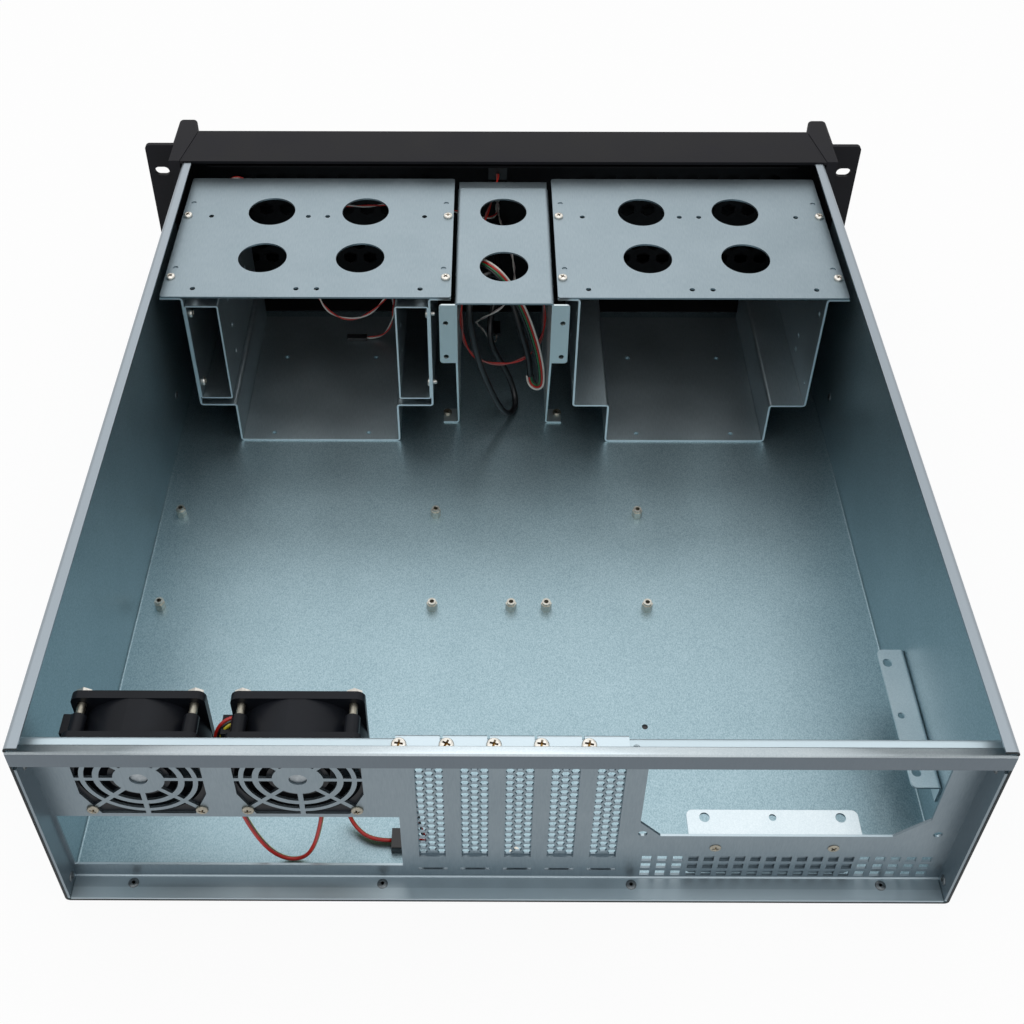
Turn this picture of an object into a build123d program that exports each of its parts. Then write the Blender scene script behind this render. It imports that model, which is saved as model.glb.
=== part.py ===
from build123d import *
import os
from math import cos, pi, radians, sin, tan

# A 3U rackmount server case with its lid off.
# +Z is up, the black front faces -Y, and the rear panel faces +Y. Millimetres.
# The origin is at the middle of the case's length and width, on the surface that it stands on.

# Rack and body
rack_width = 482.6
rack_height = 132.5
body_width = 426.0
front_over_body = 1.3
body_height = rack_height - front_over_body
tray_depth = 464.5
grip_reach = 34.0
sheet = 1.2
fold_radius = 1.6
nest_gap = 0.1

# Tray
side_flange = 6.3
bezel_overlap = 19.5
floor_hole_x = -74.9
floor_hole_from_rear = 97.8
rail_rivet_from_rear = 328.0
rail_rivet_z = 29.5

# Rear panel
recess = 12.0
ledge_z = body_height - 10.0
hem_z = body_height - 3.0
hem_gap = 1.4
lip_height = 11.0
panel_side_height = ledge_z - 9.2
rivet_x = (60.4, 181.4)
rivet_from_rear = 7.8
rivet_z = (8.5, panel_side_height - 5.2)

# Openings in the rear panel
io_x = 129.6
io_width = 158.75
io_height = 44.45
io_low_z = 12.4
slot_pitch = 20.32
slot_count = 5
middle_slot_x = -4.9
slot_width = 12.7
slot_low_z = 21.0
slot_high_z = ledge_z - 6.2
slit_width = 14.0
slit_height = 1.8
slit_z = 9.6
psu_left_x = -61.4
psu_width = 134.1
psu_low_z = 40.8
psu_high_z = ledge_z - 7.2
psu_near_chamfer = (10.3, 12.0)
psu_far_chamfer = (15.0, 15.0)
psu_hole_x = -63.2
psu_hole_pitch = (138.0, 64.0)
psu_hole_z = 43.0
psu_hole_radius = 2.2
vent_first_x = -66.9
vent_columns = 19
vent_rows = 3
vent_pitch = (7.45, 6.9)
vent_size = (4.8, 4.6)
vent_low_z = 6.2

# Exhaust fans
fan_x = {"left": 165.3, "right": 94.2}
fan_z = ledge_z - 33.0
fan_size = 60.0
fan_depth = 25.0
fan_flange = 4.0
fan_hole_pitch = 50.0
fan_hole_radius = 2.2
duct_radius = 28.4
tip_gap = 0.8
hub_radius = 14.0
cup_wall = 1.2
mount_radius = 14.0
mount_thickness = 3.6
strut_width = 3.2
stator_gap = 1.0
shaft_radius = 1.5
shaft_clearance = 0.04
bearing_radius = 4.0
lead_outlet_x = (24.0, 33.0)
lead_outlet_z = (15.0, 22.5)
lead_outlet_depth = (7.6, 17.6)
lead_outlet_inset = 1.4
bolt_post_radius = 3.4
bolt_post_gap = 6.5
blade_count = 7
blade_thickness = 1.1
blade_chord = 15.0
blade_pitch = 38.0
blade_bow = 2.2
grille_half = 28.7
grille_side_corner = 12.0
grille_end_corner = 21.5
ring_slots = ((11.5, 17.6), (20.4, 24.2))
outer_ring_radius = 26.4
grille_eye_radius = 4.1
spoke_width = 2.3

# Slot covers
cover_thickness = 0.9
cover_width = 18.8
cover_offset = 2.0
tab_width = 19.1
tab_offset = 3.95
tab_from_rear = 5.1
slot_screw_offset = 11.8
slot_screw_from_rear = 8.0
tongue_width = 10.0
tongue_z = (4.0, 14.0)
perforation_radius = 2.25
perforation_pitch = (4.4, 5.0)
perforation_low_z = 24.0
perforation_rows = int((slot_high_z - perforation_low_z) / perforation_pitch[1])

# Power supply brackets
bracket_length = 82.0
bracket_shelf = 14.8
bracket_leg = 13.0
psu_seat_drop = 6.0
bracket_big_hole = 2.5
bracket_small_hole = 1.8
bracket_hole_pitch = 65.0
bracket_hole_inset = 4.0
bracket_screw_pitch = 56.0
bracket_screw_drop = 6.8
rear_bracket_x = -126.6
side_bracket_from_rear = 81.3

# Board standoffs
standoff_flats = 5.5
standoff_height = 6.5
standoff_neck_radius = 2.4
standoff_neck = 1.6
standoff_bore = 1.3
board_edge_x = 199.2
board_first_row = 22.3
board_columns = (0.0, 157.48, 203.2, 223.52, 281.94)
board_rows = (0.0, 154.94, 227.33)
standoff_places = ((2, 0), (0, 1), (1, 1), (2, 1), (3, 1), (4, 1), (0, 2), (1, 2), (4, 2))

# Drive cages
cage_x = 119.0
cage_front = 441.8
cage_rear = 315.4
cage_top_z = ledge_z - sheet
cage_upper_width = 149.2
cage_lower_width = 104.4
cage_step_z = 32.4
cage_plate_width = 174.0
access_radius = 15.0
access_pitch = (60.4, 49.4)
access_rear = 354.4
plate_hole_x = (6.2, 68.4)
plate_hole_from_rear = (323.3, 398.3)
plate_screw_x = 83.5
plate_screw_from_rear = (334.3, 398.6)
dimple_x = 82.0
dimple_from_rear = (343.8, 413.3)
base_hole_x = 31.0
base_hole_from_rear = (321.4, 396.8)
bay_hole_height = (10.0, 21.8)
bay_hole_from_rear = (357.4, 436.6)

# Bay adapters in the left cage
adapter_width = 20.4
adapter_low_z = 38.6
adapter_roof_gap = 6.1
adapter_height = cage_top_z - adapter_roof_gap - adapter_low_z
adapter_sheet = 1.0
adapter_length = 118.0
adapter_screw_z = (adapter_low_z + 7.2, adapter_low_z + adapter_height - 11.9)
adapter_screw_inset = 8.5
adapter_hole_z = tuple(adapter_low_z + adapter_height / 2 + step for step in (-21.3, 0, 21.3))
adapter_hole_inset = (28.0, 88.0)

# Centre bridge
bridge_width = 59.0
bridge_rear = 309.8
bridge_front = 430.6
bridge_nose = 11.0
bridge_nose_drop = 2.4
bridge_foot_rear = 332.6
bridge_hole_from_rear = (345.9, 403.7)
bridge_tab_width = 9.6
bridge_tab_z = (cage_top_z - 46.0, cage_top_z - 0.4)
bridge_tab_hole_z = (bridge_tab_z[0] + 5.2, bridge_tab_z[1] - 13.8)
foot_size = (10.0, 12.3)
foot_hole_inset = 8.2
foot_hole_from_rear = 340.9

# Front plate
front_flange_z = body_height - 5.0
front_flange_depth = 15.3
front_flange_width = 394.0
side_return = 64.0
side_return_z = (4.0, front_flange_z - 3.2)
comb_columns = 10
comb_rows = 3
comb_pitch = (14.0, 12.12)
comb_radius = 5.2

# Bezel, bay covers and controls
bezel_depth = 19.5
bezel_wall = 2.0
bezel_top_gap = 0.3
bezel_seam_gap = 0.2
seam_rear_x = 214.6
seam_front_x = 207.7
cover_gap = 0.3
comb_below_bay = 16.1
wide_cover = (148.6, 41.4)
wide_cover_z = (rack_height - 76.7, rack_height - 34.7)
narrow_cover = (101.8, 25.6)
narrow_cover_z = 19.0
bay_cover_wall = 2.0
bay_cover_depth = 11.0
grip_notch = (44.0, 5.0)
control_x = 3.4
power_z = rack_height - 15.0
reset_z = power_z - 14.0
power_cap_radius = 5.0
reset_cap_radius = 2.4
button_proud = 1.6
button_travel = 1.5
button_gap = 0.25
plunger_radius = 1.8
plunger_gap = 0.05
switch_width = 12.6
switch_height = 9.2
switch_depth = 10.0
indicator_radius = 1.5
indicator_z = (power_z - 25.5, power_z - 32.5)
usb_z = power_z - 55.5
usb_size = (15.0, 17.0)
usb_port = (12.4, 4.8)
usb_port_pitch = 7.6
usb_depth = 32.0

# Handles
handle_outer_x = 223.0
cheek_outer_x = 221.8
tip_inner_x = 211.3
handle_rear_overlap = 19.0
ear_thickness = 3.0
ear_slot_pitch_z = rack_height - 43.6
ear_slot_pitch_x = 465.1
ear_slot_z = 22.9
ear_slot = (10.0, 6.8)
ear_corner = 3.0
scoop_depth = 9.0
scoop_height = rack_height - 56.5
scoop_width = 15.0

# Fasteners
screw_head_radius = 2.9
screw_head_height = 1.7
slot_screw_head_radius = 3.4
thread_radius = 1.45
hole_radius = 1.6
fan_bolt_radius = 1.95
nut_flats = 7.0
nut_height = 2.4
rivet_head_radius = 2.6
rivet_head_height = 0.8
rivet_radius = 1.55
rivet_bore = 0.8

# Leads: thickness, then the points of each route between its two ends, given as
# the place across the case, the distance from its rear edge and the height over its floor.
usb_lead_thickness = 4.0
usb_lead_route = (
    (3.4, 431.0, 60.8), (2.8, 407.0, 61.5), (4.0, 384.0, 65.5), (8.4, 365.5, 63.0), (8.6, 358.5, 49.0),
    (2.6, 359.2, 33.5), (-3.4, 359.4, 20.5), (-7.6, 357.0, 8.6), (-9.4, 349.6, 2.4), (-7.0, 340.0, 2.4),
    (-1.4, 332.6, 8.5), (4.2, 330.5, 21.5), (10.2, 330.0, 38.5), (15.0, 328.0, 56.0), (18.8, 326.5, 76.0),
    (21.6, 327.5, 95.0), (20.8, 333.0, 109.0), (13.8, 344.5, 113.6), (4.6, 355.0, 108.0), (-2.6, 356.0, 96.5),
    (-6.8, 351.0, 83.5), (-10.6, 346.5, 70.5), (-14.6, 345.0, 56.5), (-17.2, 344.8, 43.5),
)
jacket_end = (-18.0, 344.6, 31.5)
usb_wires_thickness = 2.6
usb_wires_route = (
    (-18.47, 344.48, 24.5), (-20.7, 342.0, 19.6), (-23.8, 338.4, 18.9), (-25.6, 335.6, 24.2), (-25.7, 334.6, 33.0),
    (-24.0, 336.5, 46.0), (-21.0, 339.0, 61.0), (-16.6, 340.5, 76.0), (-11.0, 343.0, 90.5), (-4.0, 346.5, 103.5),
    (3.0, 349.5, 112.0), (10.0, 354.5, 114.8), (16.5, 360.5, 113.4), (20.6, 367.5, 112.6),
)
usb_plug_end = (20.6, 376.0, 112.6)
usb_plug_size = (10.4, 5.0, 14.0)
switch_lead_thickness = 2.2
switch_lead_route = (
    (3.4, 446.5, 116.3), (5.5, 437.0, 112.0), (11.0, 422.0, 104.0), (17.5, 404.0, 96.5), (22.5, 383.0, 92.0),
    (25.6, 365.0, 88.5), (26.8, 353.5, 81.0), (26.8, 350.2, 70.0), (25.2, 350.0, 55.0), (19.5, 350.0, 43.5),
    (10.0, 350.0, 37.2), (-3.0, 350.0, 36.4), (-13.5, 350.5, 40.6), (-21.5, 351.0, 48.8), (-25.9, 351.5, 60.0),
    (-26.6, 352.0, 73.5), (-25.8, 353.5, 86.5), (-25.0, 360.5, 97.5), (-25.2, 373.0, 102.5),
)
switch_plug_end = (-25.4, 387.0, 101.0)
indicator_lead_thickness = 1.6
indicator_lead_route = (
    (3.4, 446.0, 90.8), (0.5, 426.0, 93.0), (-4.5, 402.0, 94.2), (-7.5, 380.0, 93.4), (-7.0, 362.5, 89.5),
    (-1.5, 352.8, 84.2), (6.5, 351.5, 78.6), (13.5, 356.0, 70.5), (17.5, 366.0, 59.5), (17.5, 379.0, 47.5),
    (14.5, 391.5, 33.5), (10.5, 400.0, 19.5), (6.5, 406.5, 8.0), (3.4, 414.0, 1.5),
)
indicator_plug_end = (3.4, 421.5, 1.5)
bay_lead_thickness = 2.0
bay_lead_route = (
    (3.4, 452.0, 83.8), (9.0, 446.6, 84.5), (19.5, 446.4, 86.5), (37.0, 448.2, 91.0), (64.0, 449.8, 96.0),
    (97.0, 451.0, 99.0), (126.0, 451.2, 98.5), (148.0, 450.6, 98.5), (161.5, 449.6, 103.5), (170.0, 448.6, 112.0),
    (178.6, 448.2, 117.6), (186.5, 448.8, 112.5), (190.0, 450.0, 100.0), (187.0, 451.0, 84.0), (176.0, 449.5, 69.5),
    (158.0, 441.5, 60.5), (141.5, 424.0, 60.0), (130.5, 401.5, 64.5), (123.0, 386.5, 66.0), (117.5, 380.8, 57.5),
    (108.5, 380.2, 50.5), (97.5, 380.2, 49.4), (86.5, 381.5, 54.5), (78.5, 387.0, 61.0), (75.0, 396.5, 59.0),
    (74.4, 405.5, 48.5), (74.8, 411.5, 36.0), (76.0, 414.5, 23.0), (79.5, 416.0, 11.0), (86.5, 416.5, 2.8),
)
bay_plug_end = (95.5, 416.5, 2.8)
header_plug_size = (2.6, 5.2, 14.0)
fan_lead_thickness = 2.0
fan_lead_route = (
    (125.8, 25.8, 92.0), (128.0, 24.7, 78.0), (128.2, 22.6, 60.0), (124.4, 20.3, 41.0), (119.8, 20.0, 22.0),
    (114.2, 20.0, 8.2), (106.5, 20.0, 1.5), (98.4, 20.0, 4.4), (93.2, 20.0, 16.0), (89.4, 20.2, 32.5),
    (87.0, 22.6, 47.0), (84.8, 30.5, 54.0), (83.4, 41.5, 51.0), (82.8, 46.5, 39.0), (82.0, 46.8, 24.5),
    (80.4, 43.5, 11.5), (76.3, 37.2, 3.6), (69.0, 30.0, 2.5),
)
fan_feed_route = (
    (43.0, 30.0, 2.5), (38.8, 26.2, 8.5), (39.5, 21.4, 19.0), (41.5, 19.9, 33.0), (42.8, 20.4, 46.0),
    (43.4, 21.6, 58.0), (43.6, 23.6, 65.2), (48.0, 24.7, 69.8),
)
fan_connector_x = (48.6, 57.0)
fan_connector_size = (11.0, 5.0)
fan_connector_from_rear = 30.0
feed_plug_size = (6.0, 8.0, 8.0)
feed_plug_z = fan_z - 17.2
feed_plug_from_rear = 24.7

# Places worked out from the sizes
rear_y = (tray_depth + grip_reach) / 2
ear_y = rear_y - tray_depth
tip_y = ear_y - grip_reach
wall_in = body_width / 2 - sheet
panel_y = rear_y - recess
panel_in = panel_y - sheet
floor_z = sheet
left_side = 1
right_side = -1


def block(x, y, z):
    """A box between two limits on each axis."""
    size = [abs(high - low) for low, high in (x, y, z)]
    middle = [(low + high) / 2 for low, high in (x, y, z)]
    return Pos(*middle) * Box(*size)


def folded(plane, points, width, radii=fold_radius, thickness=sheet):
    """Sheet folded along its middle line, drawn on a plane and centred across it."""
    line = FilletPolyline(*points, radius=radii)
    return extrude(plane * trace(line, thickness), width / 2, both=True)


def outline(points):
    """A flat face inside a closed run of points."""
    return make_face(Polyline(*points, close=True))


def pin(at, direction, radius, length):
    """A round bar that starts at a point and runs along a direction."""
    return Plane(at, z_dir=direction) * extrude(Circle(radius), length)


def drill(at, direction, radius, length=6.0):
    """A round cutter centred on a point."""
    return Plane(at, z_dir=direction) * extrude(Circle(radius), length / 2, both=True)


def screw(at, direction, shank, head_radius=screw_head_radius, shank_radius=thread_radius):
    """A pan head screw: its head stands on a face at a point, its shank goes in against the direction."""
    head = extrude(Circle(head_radius), screw_head_height)
    rim = head.edges().sort_by(Axis.Z)[-1]
    head = fillet(rim, screw_head_height * 0.6)
    body = head + Pos(0, 0, -shank) * extrude(Circle(shank_radius), shank + screw_head_height / 2)
    return Plane(at, z_dir=direction) * body


def rivet(at, direction, grip):
    """A blind rivet: a low round head with the hole of its mandrel."""
    shank = Pos(0, 0, -grip) * extrude(Circle(rivet_radius), grip + rivet_head_height)
    head = extrude(Circle(rivet_head_radius), rivet_head_height)
    head = chamfer(head.edges().sort_by(Axis.Z)[-1], rivet_head_height / 2)
    bore = Pos(0, 0, -grip) * extrude(Circle(rivet_bore), grip + 2 * rivet_head_height)
    return Plane(at, z_dir=direction) * (head + shank - bore)


def solids_of(pieces):
    """Every solid in a list of shapes."""
    return [solid for piece in pieces for solid in piece.solids()]


def save(name, *pieces):
    """Writes one node's solids to its own file."""
    export_step(Compound(solids_of(pieces)), f"parts/{name}.step")


def slot_x(index):
    """The middle of one expansion slot."""
    return middle_slot_x + slot_pitch * ((slot_count - 1) / 2 - index)


def base_tray():
    """Floor, side walls and their inward top flanges, folded from one sheet."""
    half = body_width / 2 - sheet / 2
    low = sheet / 2
    high = body_height - sheet / 2
    edge = body_width / 2 - side_flange
    points = [(-edge, high), (-half, high), (-half, low), (half, low), (half, high), (edge, high)]
    tray = Pos(0, (rear_y + ear_y) / 2, 0) * folded(Plane.XZ, points, tray_depth)
    lowered = rack_height - bezel_top_gap - bezel_wall - nest_gap - sheet
    tray -= block((-body_width, body_width), (ear_y - 1, ear_y + bezel_overlap), (lowered, 2 * body_height))
    hem_depth = 2 * sheet + hem_gap + nest_gap
    hem_room = (hem_z - lip_height - nest_gap, hem_z + nest_gap)
    for side in (left_side, right_side):
        wall = (side * (wall_in - fold_radius), side * body_width)
        tray -= block(wall, (rear_y - hem_depth, rear_y + 1), hem_room)
    return tray - tray_holes()


def tray_holes():
    """Cutters for the rivets, the board standoffs and the small hole in the floor."""
    cutters = [drill((floor_hole_x, rear_y - floor_hole_from_rear, 0), (0, 0, 1), hole_radius)]
    for x in rivet_x:
        for side in (left_side, right_side):
            cutters.append(drill((side * x, rear_y - rivet_from_rear, 0), (0, 0, 1), hole_radius))
    for side in (left_side, right_side):
        for z in rivet_z:
            cutters.append(drill((side * wall_in, rear_y - rivet_from_rear, z), (1, 0, 0), hole_radius))
        rail = (side * wall_in, rear_y - rail_rivet_from_rear, rail_rivet_z)
        cutters.append(drill(rail, (1, 0, 0), hole_radius))
        cutters.append(drill(foot_hole(side), (0, 0, 1), hole_radius))
        along = rear_y - side_bracket_from_rear + side * bracket_screw_pitch / 2
        cutters.append(drill((-wall_in, along, bracket_screw_z()), (1, 0, 0), hole_radius))
    return cutters


def foot_hole(side):
    """The middle of the screw hole in one rear foot of the centre bridge, on the floor."""
    x = side * (bridge_width / 2 + foot_hole_inset - sheet)
    return (x, rear_y - foot_hole_from_rear, floor_z)


def grille_cut():
    """The stamped grille of one fan: rings of slots between eight spokes."""
    half = grille_half
    side = grille_side_corner
    end = grille_end_corner
    corners = [(half, side), (end, half), (-end, half), (-half, side)]
    corners += [(-half, -side), (-end, -half), (end, -half), (half, -side)]
    cut = outline(corners) - Circle(outer_ring_radius)
    for inner, outer in ring_slots:
        cut += Circle(outer) - Circle(inner)
    for turn in range(4):
        cut -= Rot(0, 0, 45 * turn) * Rectangle(4 * half, spoke_width)
    return cut + Circle(grille_eye_radius)


def psu_cut():
    """The power supply opening, with its two lower corners cut off."""
    near = psu_left_x
    far = psu_left_x - psu_width
    near_x, near_z = psu_near_chamfer
    far_x, far_z = psu_far_chamfer
    points = [(near, psu_high_z), (near, psu_low_z + near_z), (near - near_x, psu_low_z)]
    points += [(far + far_x, psu_low_z), (far, psu_low_z + far_z), (far, psu_high_z)]
    return outline(points)


def rear_windows():
    """Everything that is punched through the upright of the rear panel."""
    cut = Pos(io_x, io_low_z + io_height / 2) * Rectangle(io_width, io_height)
    cut += psu_cut()
    for x in fan_x.values():
        cut += Pos(x, fan_z) * grille_cut()
        cut += Pos(x, fan_z) * GridLocations(fan_hole_pitch, fan_hole_pitch, 2, 2) * Circle(fan_hole_radius)
    for index in range(slot_count):
        x = slot_x(index)
        cut += Pos(x, (slot_low_z + slot_high_z) / 2) * Rectangle(slot_width, slot_high_z - slot_low_z)
        cut += Pos(x, slit_z) * Rectangle(slit_width, slit_height)
    vent_x = vent_first_x - vent_pitch[0] * (vent_columns - 1) / 2
    vent_z = vent_low_z + vent_pitch[1] * (vent_rows - 1) / 2
    cut += Pos(vent_x, vent_z) * GridLocations(*vent_pitch, vent_columns, vent_rows) * Rectangle(*vent_size)
    across, up = psu_hole_pitch
    for step, rise in ((0, 0), (across, 0), (across, up)):
        cut += Pos(psu_hole_x - step, psu_hole_z + rise) * Circle(psu_hole_radius)
    cut += Pos(rear_bracket_x, bracket_screw_z()) * GridLocations(bracket_screw_pitch, 1, 2, 1) * Circle(hole_radius)
    return Pos(0, panel_y - sheet / 2, 0) * extrude(Plane.XZ * cut, 2 * sheet, both=True)


def rear_panel():
    """Recessed panel with its ledge, raised hem and lip, and flanges that turn back to the tray's edge."""
    upright = panel_y - sheet / 2
    seat = floor_z + sheet / 2
    ledge = ledge_z - sheet / 2
    outer = rear_y - sheet / 2
    inner = outer - sheet - hem_gap
    crest = hem_z - sheet / 2
    points = [(rear_y - nest_gap, seat), (upright, seat), (upright, ledge), (inner, ledge)]
    points += [(inner, crest), (outer, crest), (outer, hem_z - lip_height)]
    turn = (sheet + hem_gap) / 2 - 0.01
    radii = [fold_radius, fold_radius, fold_radius, turn, turn]
    panel = folded(Plane.YZ, points, body_width, radii)
    inside = wall_in - nest_gap
    for side in (left_side, right_side):
        beyond = (side * inside, side * body_width)
        corner = (side * (wall_in - fold_radius), side * body_width)
        panel -= block(beyond, (panel_in - 1, inner - sheet / 2), (0, body_height))
        panel -= block(beyond, (panel_in - 1, rear_y + 1), (0, hem_z - lip_height))
        panel -= block(corner, (panel_in - 1, rear_y + 1), (0, floor_z + sheet))
        flange_z = (floor_z + sheet, floor_z + sheet + panel_side_height)
        panel += block((side * inside, side * (inside - sheet)), (panel_in, rear_y - nest_gap), flange_z)
    return panel - rear_windows() - rear_panel_holes()


def rear_panel_holes():
    """Cutters for the slot screws in the ledge and the rivets in the flanges."""
    cutters = []
    for index in range(slot_count + 1):
        x = slot_x(index) + slot_screw_offset
        cutters.append(drill((x, rear_y - slot_screw_from_rear, ledge_z), (0, 0, 1), hole_radius))
    for side in (left_side, right_side):
        for x in rivet_x:
            cutters.append(drill((side * x, rear_y - rivet_from_rear, floor_z), (0, 0, 1), hole_radius))
        for z in rivet_z:
            cutters.append(drill((side * wall_in, rear_y - rivet_from_rear, z), (1, 0, 0), hole_radius))
    return cutters


def tray_rivets():
    """Rivets through the rear panel's flanges and the two in the side walls."""
    rivets = []
    for side in (left_side, right_side):
        inward = (-side, 0, 0)
        for x in rivet_x:
            at = (side * x, rear_y - rivet_from_rear, floor_z + sheet)
            rivets.append(rivet(at, (0, 0, 1), 2 * sheet))
        for z in rivet_z:
            at = (side * (wall_in - sheet - nest_gap), rear_y - rivet_from_rear, z)
            rivets.append(rivet(at, inward, 2 * sheet))
        at = (side * wall_in, rear_y - rail_rivet_from_rear, rail_rivet_z)
        rivets.append(rivet(at, inward, sheet))
    return rivets


def slot_cover(index):
    """A perforated cover: its tab lies on the ledge, its tongue points down behind the panel."""
    x = slot_x(index)
    back = panel_in - cover_thickness / 2
    tab_z = ledge_z + cover_thickness / 2
    points = [(back, tongue_z[0]), (back, tab_z), (rear_y - tab_from_rear, tab_z)]
    cover = Pos(x, 0, 0) * folded(Plane.YZ, points, 4 * cover_width, fold_radius, cover_thickness)
    plate = [x + cover_offset - cover_width / 2, x + cover_offset + cover_width / 2]
    tab = [x + tab_offset - tab_width / 2, x + tab_offset + tab_width / 2]
    tongue = [x - tongue_width / 2, x + tongue_width / 2]
    deep = (panel_in - 2 * fold_radius, rear_y)
    shoulder = ledge_z - 2 * fold_radius
    cover -= sides_of(plate, deep, (tongue_z[1], shoulder))
    cover -= sides_of(tongue, deep, (0, tongue_z[1]))
    cover -= sides_of(tab, deep, (shoulder, 2 * ledge_z))
    screw_at = (x + slot_screw_offset, rear_y - slot_screw_from_rear, tab_z)
    notch = drill(screw_at, (0, 0, 1), fan_hole_radius)
    notch += Pos(*screw_at) * Pos(fan_hole_radius, 0, 0) * Box(2 * fan_hole_radius, 2 * fan_hole_radius, 4)
    return cover - notch - perforations(x, back)


def sides_of(keep, y, z):
    """Cutters that clear both sides of a strip."""
    far = 8 * cover_width
    low, high = keep
    return [block((low - far, low), y, z), block((high, high + far), y, z)]


def perforations(x, y):
    """Three staggered columns of six-sided holes."""
    across, up = perforation_pitch
    places = []
    for column in (-1, 0, 1):
        shift = up / 2 if column == 0 else 0
        count = perforation_rows - 1 if column == 0 else perforation_rows
        for row in range(count):
            places.append(Pos(x + column * across, perforation_low_z + shift + row * up))
    holes = Sketch() + [place * RegularPolygon(perforation_radius, 6) for place in places]
    return Pos(0, y, 0) * extrude(Plane.XZ * holes, 2 * cover_thickness, both=True)


def slot_screws():
    """One screw through each slot cover's tab."""
    screws = []
    for index in range(slot_count):
        x = slot_x(index) + slot_screw_offset
        at = (x, rear_y - slot_screw_from_rear, ledge_z + cover_thickness)
        screws.append(screw(at, (0, 0, 1), 4.5, slot_screw_head_radius))
    return screws


def fan_plane(x):
    """A plane on the panel's inner face, at a fan's axis, that looks into the case."""
    return Plane((x, panel_in, fan_z), x_dir=(1, 0, 0), z_dir=(0, -1, 0))


def fan_frame(x):
    """Square housing with two flanges, a round duct, four struts and the motor's stator."""
    square = RectangleRounded(fan_size, fan_size, 4.0)
    frame = extrude(square, fan_flange)
    frame += Pos(0, 0, fan_depth - fan_flange) * extrude(square, fan_flange)
    frame += extrude(Circle(fan_size / 2) & Rectangle(fan_size - 0.4, fan_size - 0.4), fan_depth)
    frame += block(lead_outlet_x, lead_outlet_z, lead_outlet_depth)
    posts = Sketch() + GridLocations(fan_hole_pitch, fan_hole_pitch, 2, 2) * Circle(bolt_post_radius)
    frame += extrude(posts, fan_depth - fan_flange - bolt_post_gap)
    frame -= extrude(Circle(duct_radius), fan_depth)
    holes = Sketch() + GridLocations(fan_hole_pitch, fan_hole_pitch, 2, 2) * Circle(fan_hole_radius)
    frame -= extrude(holes, fan_depth)
    for turn in range(4):
        strut = Pos((duct_radius + hub_radius / 2) / 2, 0) * Rectangle(duct_radius, strut_width)
        frame += extrude(Rot(0, 0, 45 + 90 * turn) * strut, mount_thickness)
    frame += extrude(Circle(mount_radius), mount_thickness)
    stator = Circle(hub_radius - cup_wall - stator_gap)
    frame += extrude(stator, fan_depth - 3 * fan_flange)
    frame += extrude(Circle(bearing_radius), fan_depth - 2 * fan_flange)
    bore = Pos(0, 0, -1) * extrude(Circle(shaft_radius + shaft_clearance), fan_depth)
    return fan_plane(x) * (frame - bore)


def fan_blade():
    """One blade: a bowed strip set at an angle, cut to the rotor's rim."""
    half = blade_chord / 2
    bow = ThreePointArc((-half, 0), (0, blade_bow), (half, 0))
    section = Rot(0, 0, blade_pitch) * trace(bow, blade_thickness)
    middle = (mount_thickness + fan_depth) / 2
    return Plane((0, 0, middle), x_dir=(0, 1, 0), z_dir=(1, 0, 0)) * section


def fan_rotor(x):
    """Cup-shaped hub with its shaft and seven blades."""
    front = fan_depth - 1.6
    back = mount_thickness + 1.0
    cup = Pos(0, 0, back) * extrude(Circle(hub_radius), front - back)
    hollow = Pos(0, 0, back) * extrude(Circle(hub_radius - cup_wall), front - back - 1.5 * cup_wall)
    cup -= hollow
    cup = fillet(cup.edges().group_by(Axis.Z)[-1], 1.0)
    blade = Pos(hub_radius - cup_wall / 2, 0, 0) * extrude(fan_blade(), duct_radius)
    rim = extrude(Circle(duct_radius - tip_gap) - Circle(hub_radius - cup_wall / 2), fan_depth)
    blade = blade & rim
    for turn in range(blade_count):
        cup += Rot(0, 0, 360 / blade_count * turn) * blade
    cup += Pos(0, 0, 0.8) * extrude(Circle(shaft_radius), front - 0.8 - cup_wall / 2)
    return fan_plane(x) * cup


def fan_bolts():
    """Long bolts from outside the grille through both flanges of each fan."""
    bolts = []
    for x in fan_x.values():
        for corner in GridLocations(fan_hole_pitch, fan_hole_pitch, 2, 2):
            spot = corner.position
            at = (x + spot.X, panel_y, fan_z + spot.Y)
            shank = sheet + fan_depth + nut_height + 1
            bolts.append(screw(at, (0, 1, 0), shank, screw_head_radius, fan_bolt_radius))
    return bolts


def fan_nuts():
    """A nut on each bolt, against the fan's inner flange."""
    nuts = []
    for x in fan_x.values():
        for corner in GridLocations(fan_hole_pitch, fan_hole_pitch, 2, 2):
            spot = corner.position
            face = RegularPolygon(nut_flats / 2, 6, major_radius=False) - Circle(fan_bolt_radius + 0.03)
            at = Plane((x + spot.X, panel_in - fan_depth, fan_z + spot.Y), z_dir=(0, -1, 0))
            nuts.append(at * extrude(face, nut_height))
    return nuts


def psu_bracket():
    """An angle with a three-hole shelf on top, drawn with its back on the XZ plane and its shelf at Z 0."""
    seat = -sheet / 2
    points = [(-sheet / 2, -bracket_leg), (-sheet / 2, seat), (-bracket_shelf, seat)]
    angle = folded(Plane.YZ, points, bracket_length)
    corners = angle.edges().filter_by(Axis.Z).group_by(Axis.Y)[0]
    angle = fillet(corners, 3.0)
    edge = bracket_hole_inset - bracket_shelf
    for side, radius in ((-1, bracket_big_hole), (0, bracket_small_hole), (1, bracket_big_hole)):
        angle -= drill((side * bracket_hole_pitch / 2, edge, 0), (0, 0, 1), radius)
    for side in (-1, 1):
        angle -= drill((side * bracket_screw_pitch / 2, 0, -bracket_screw_drop), (0, 1, 0), hole_radius)
    return angle


def psu_seat():
    """The height of the surface that carries the power supply."""
    return psu_hole_z - psu_seat_drop


def bracket_screw_z():
    """The height of the power supply brackets' own screws."""
    return psu_seat() - bracket_screw_drop


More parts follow.
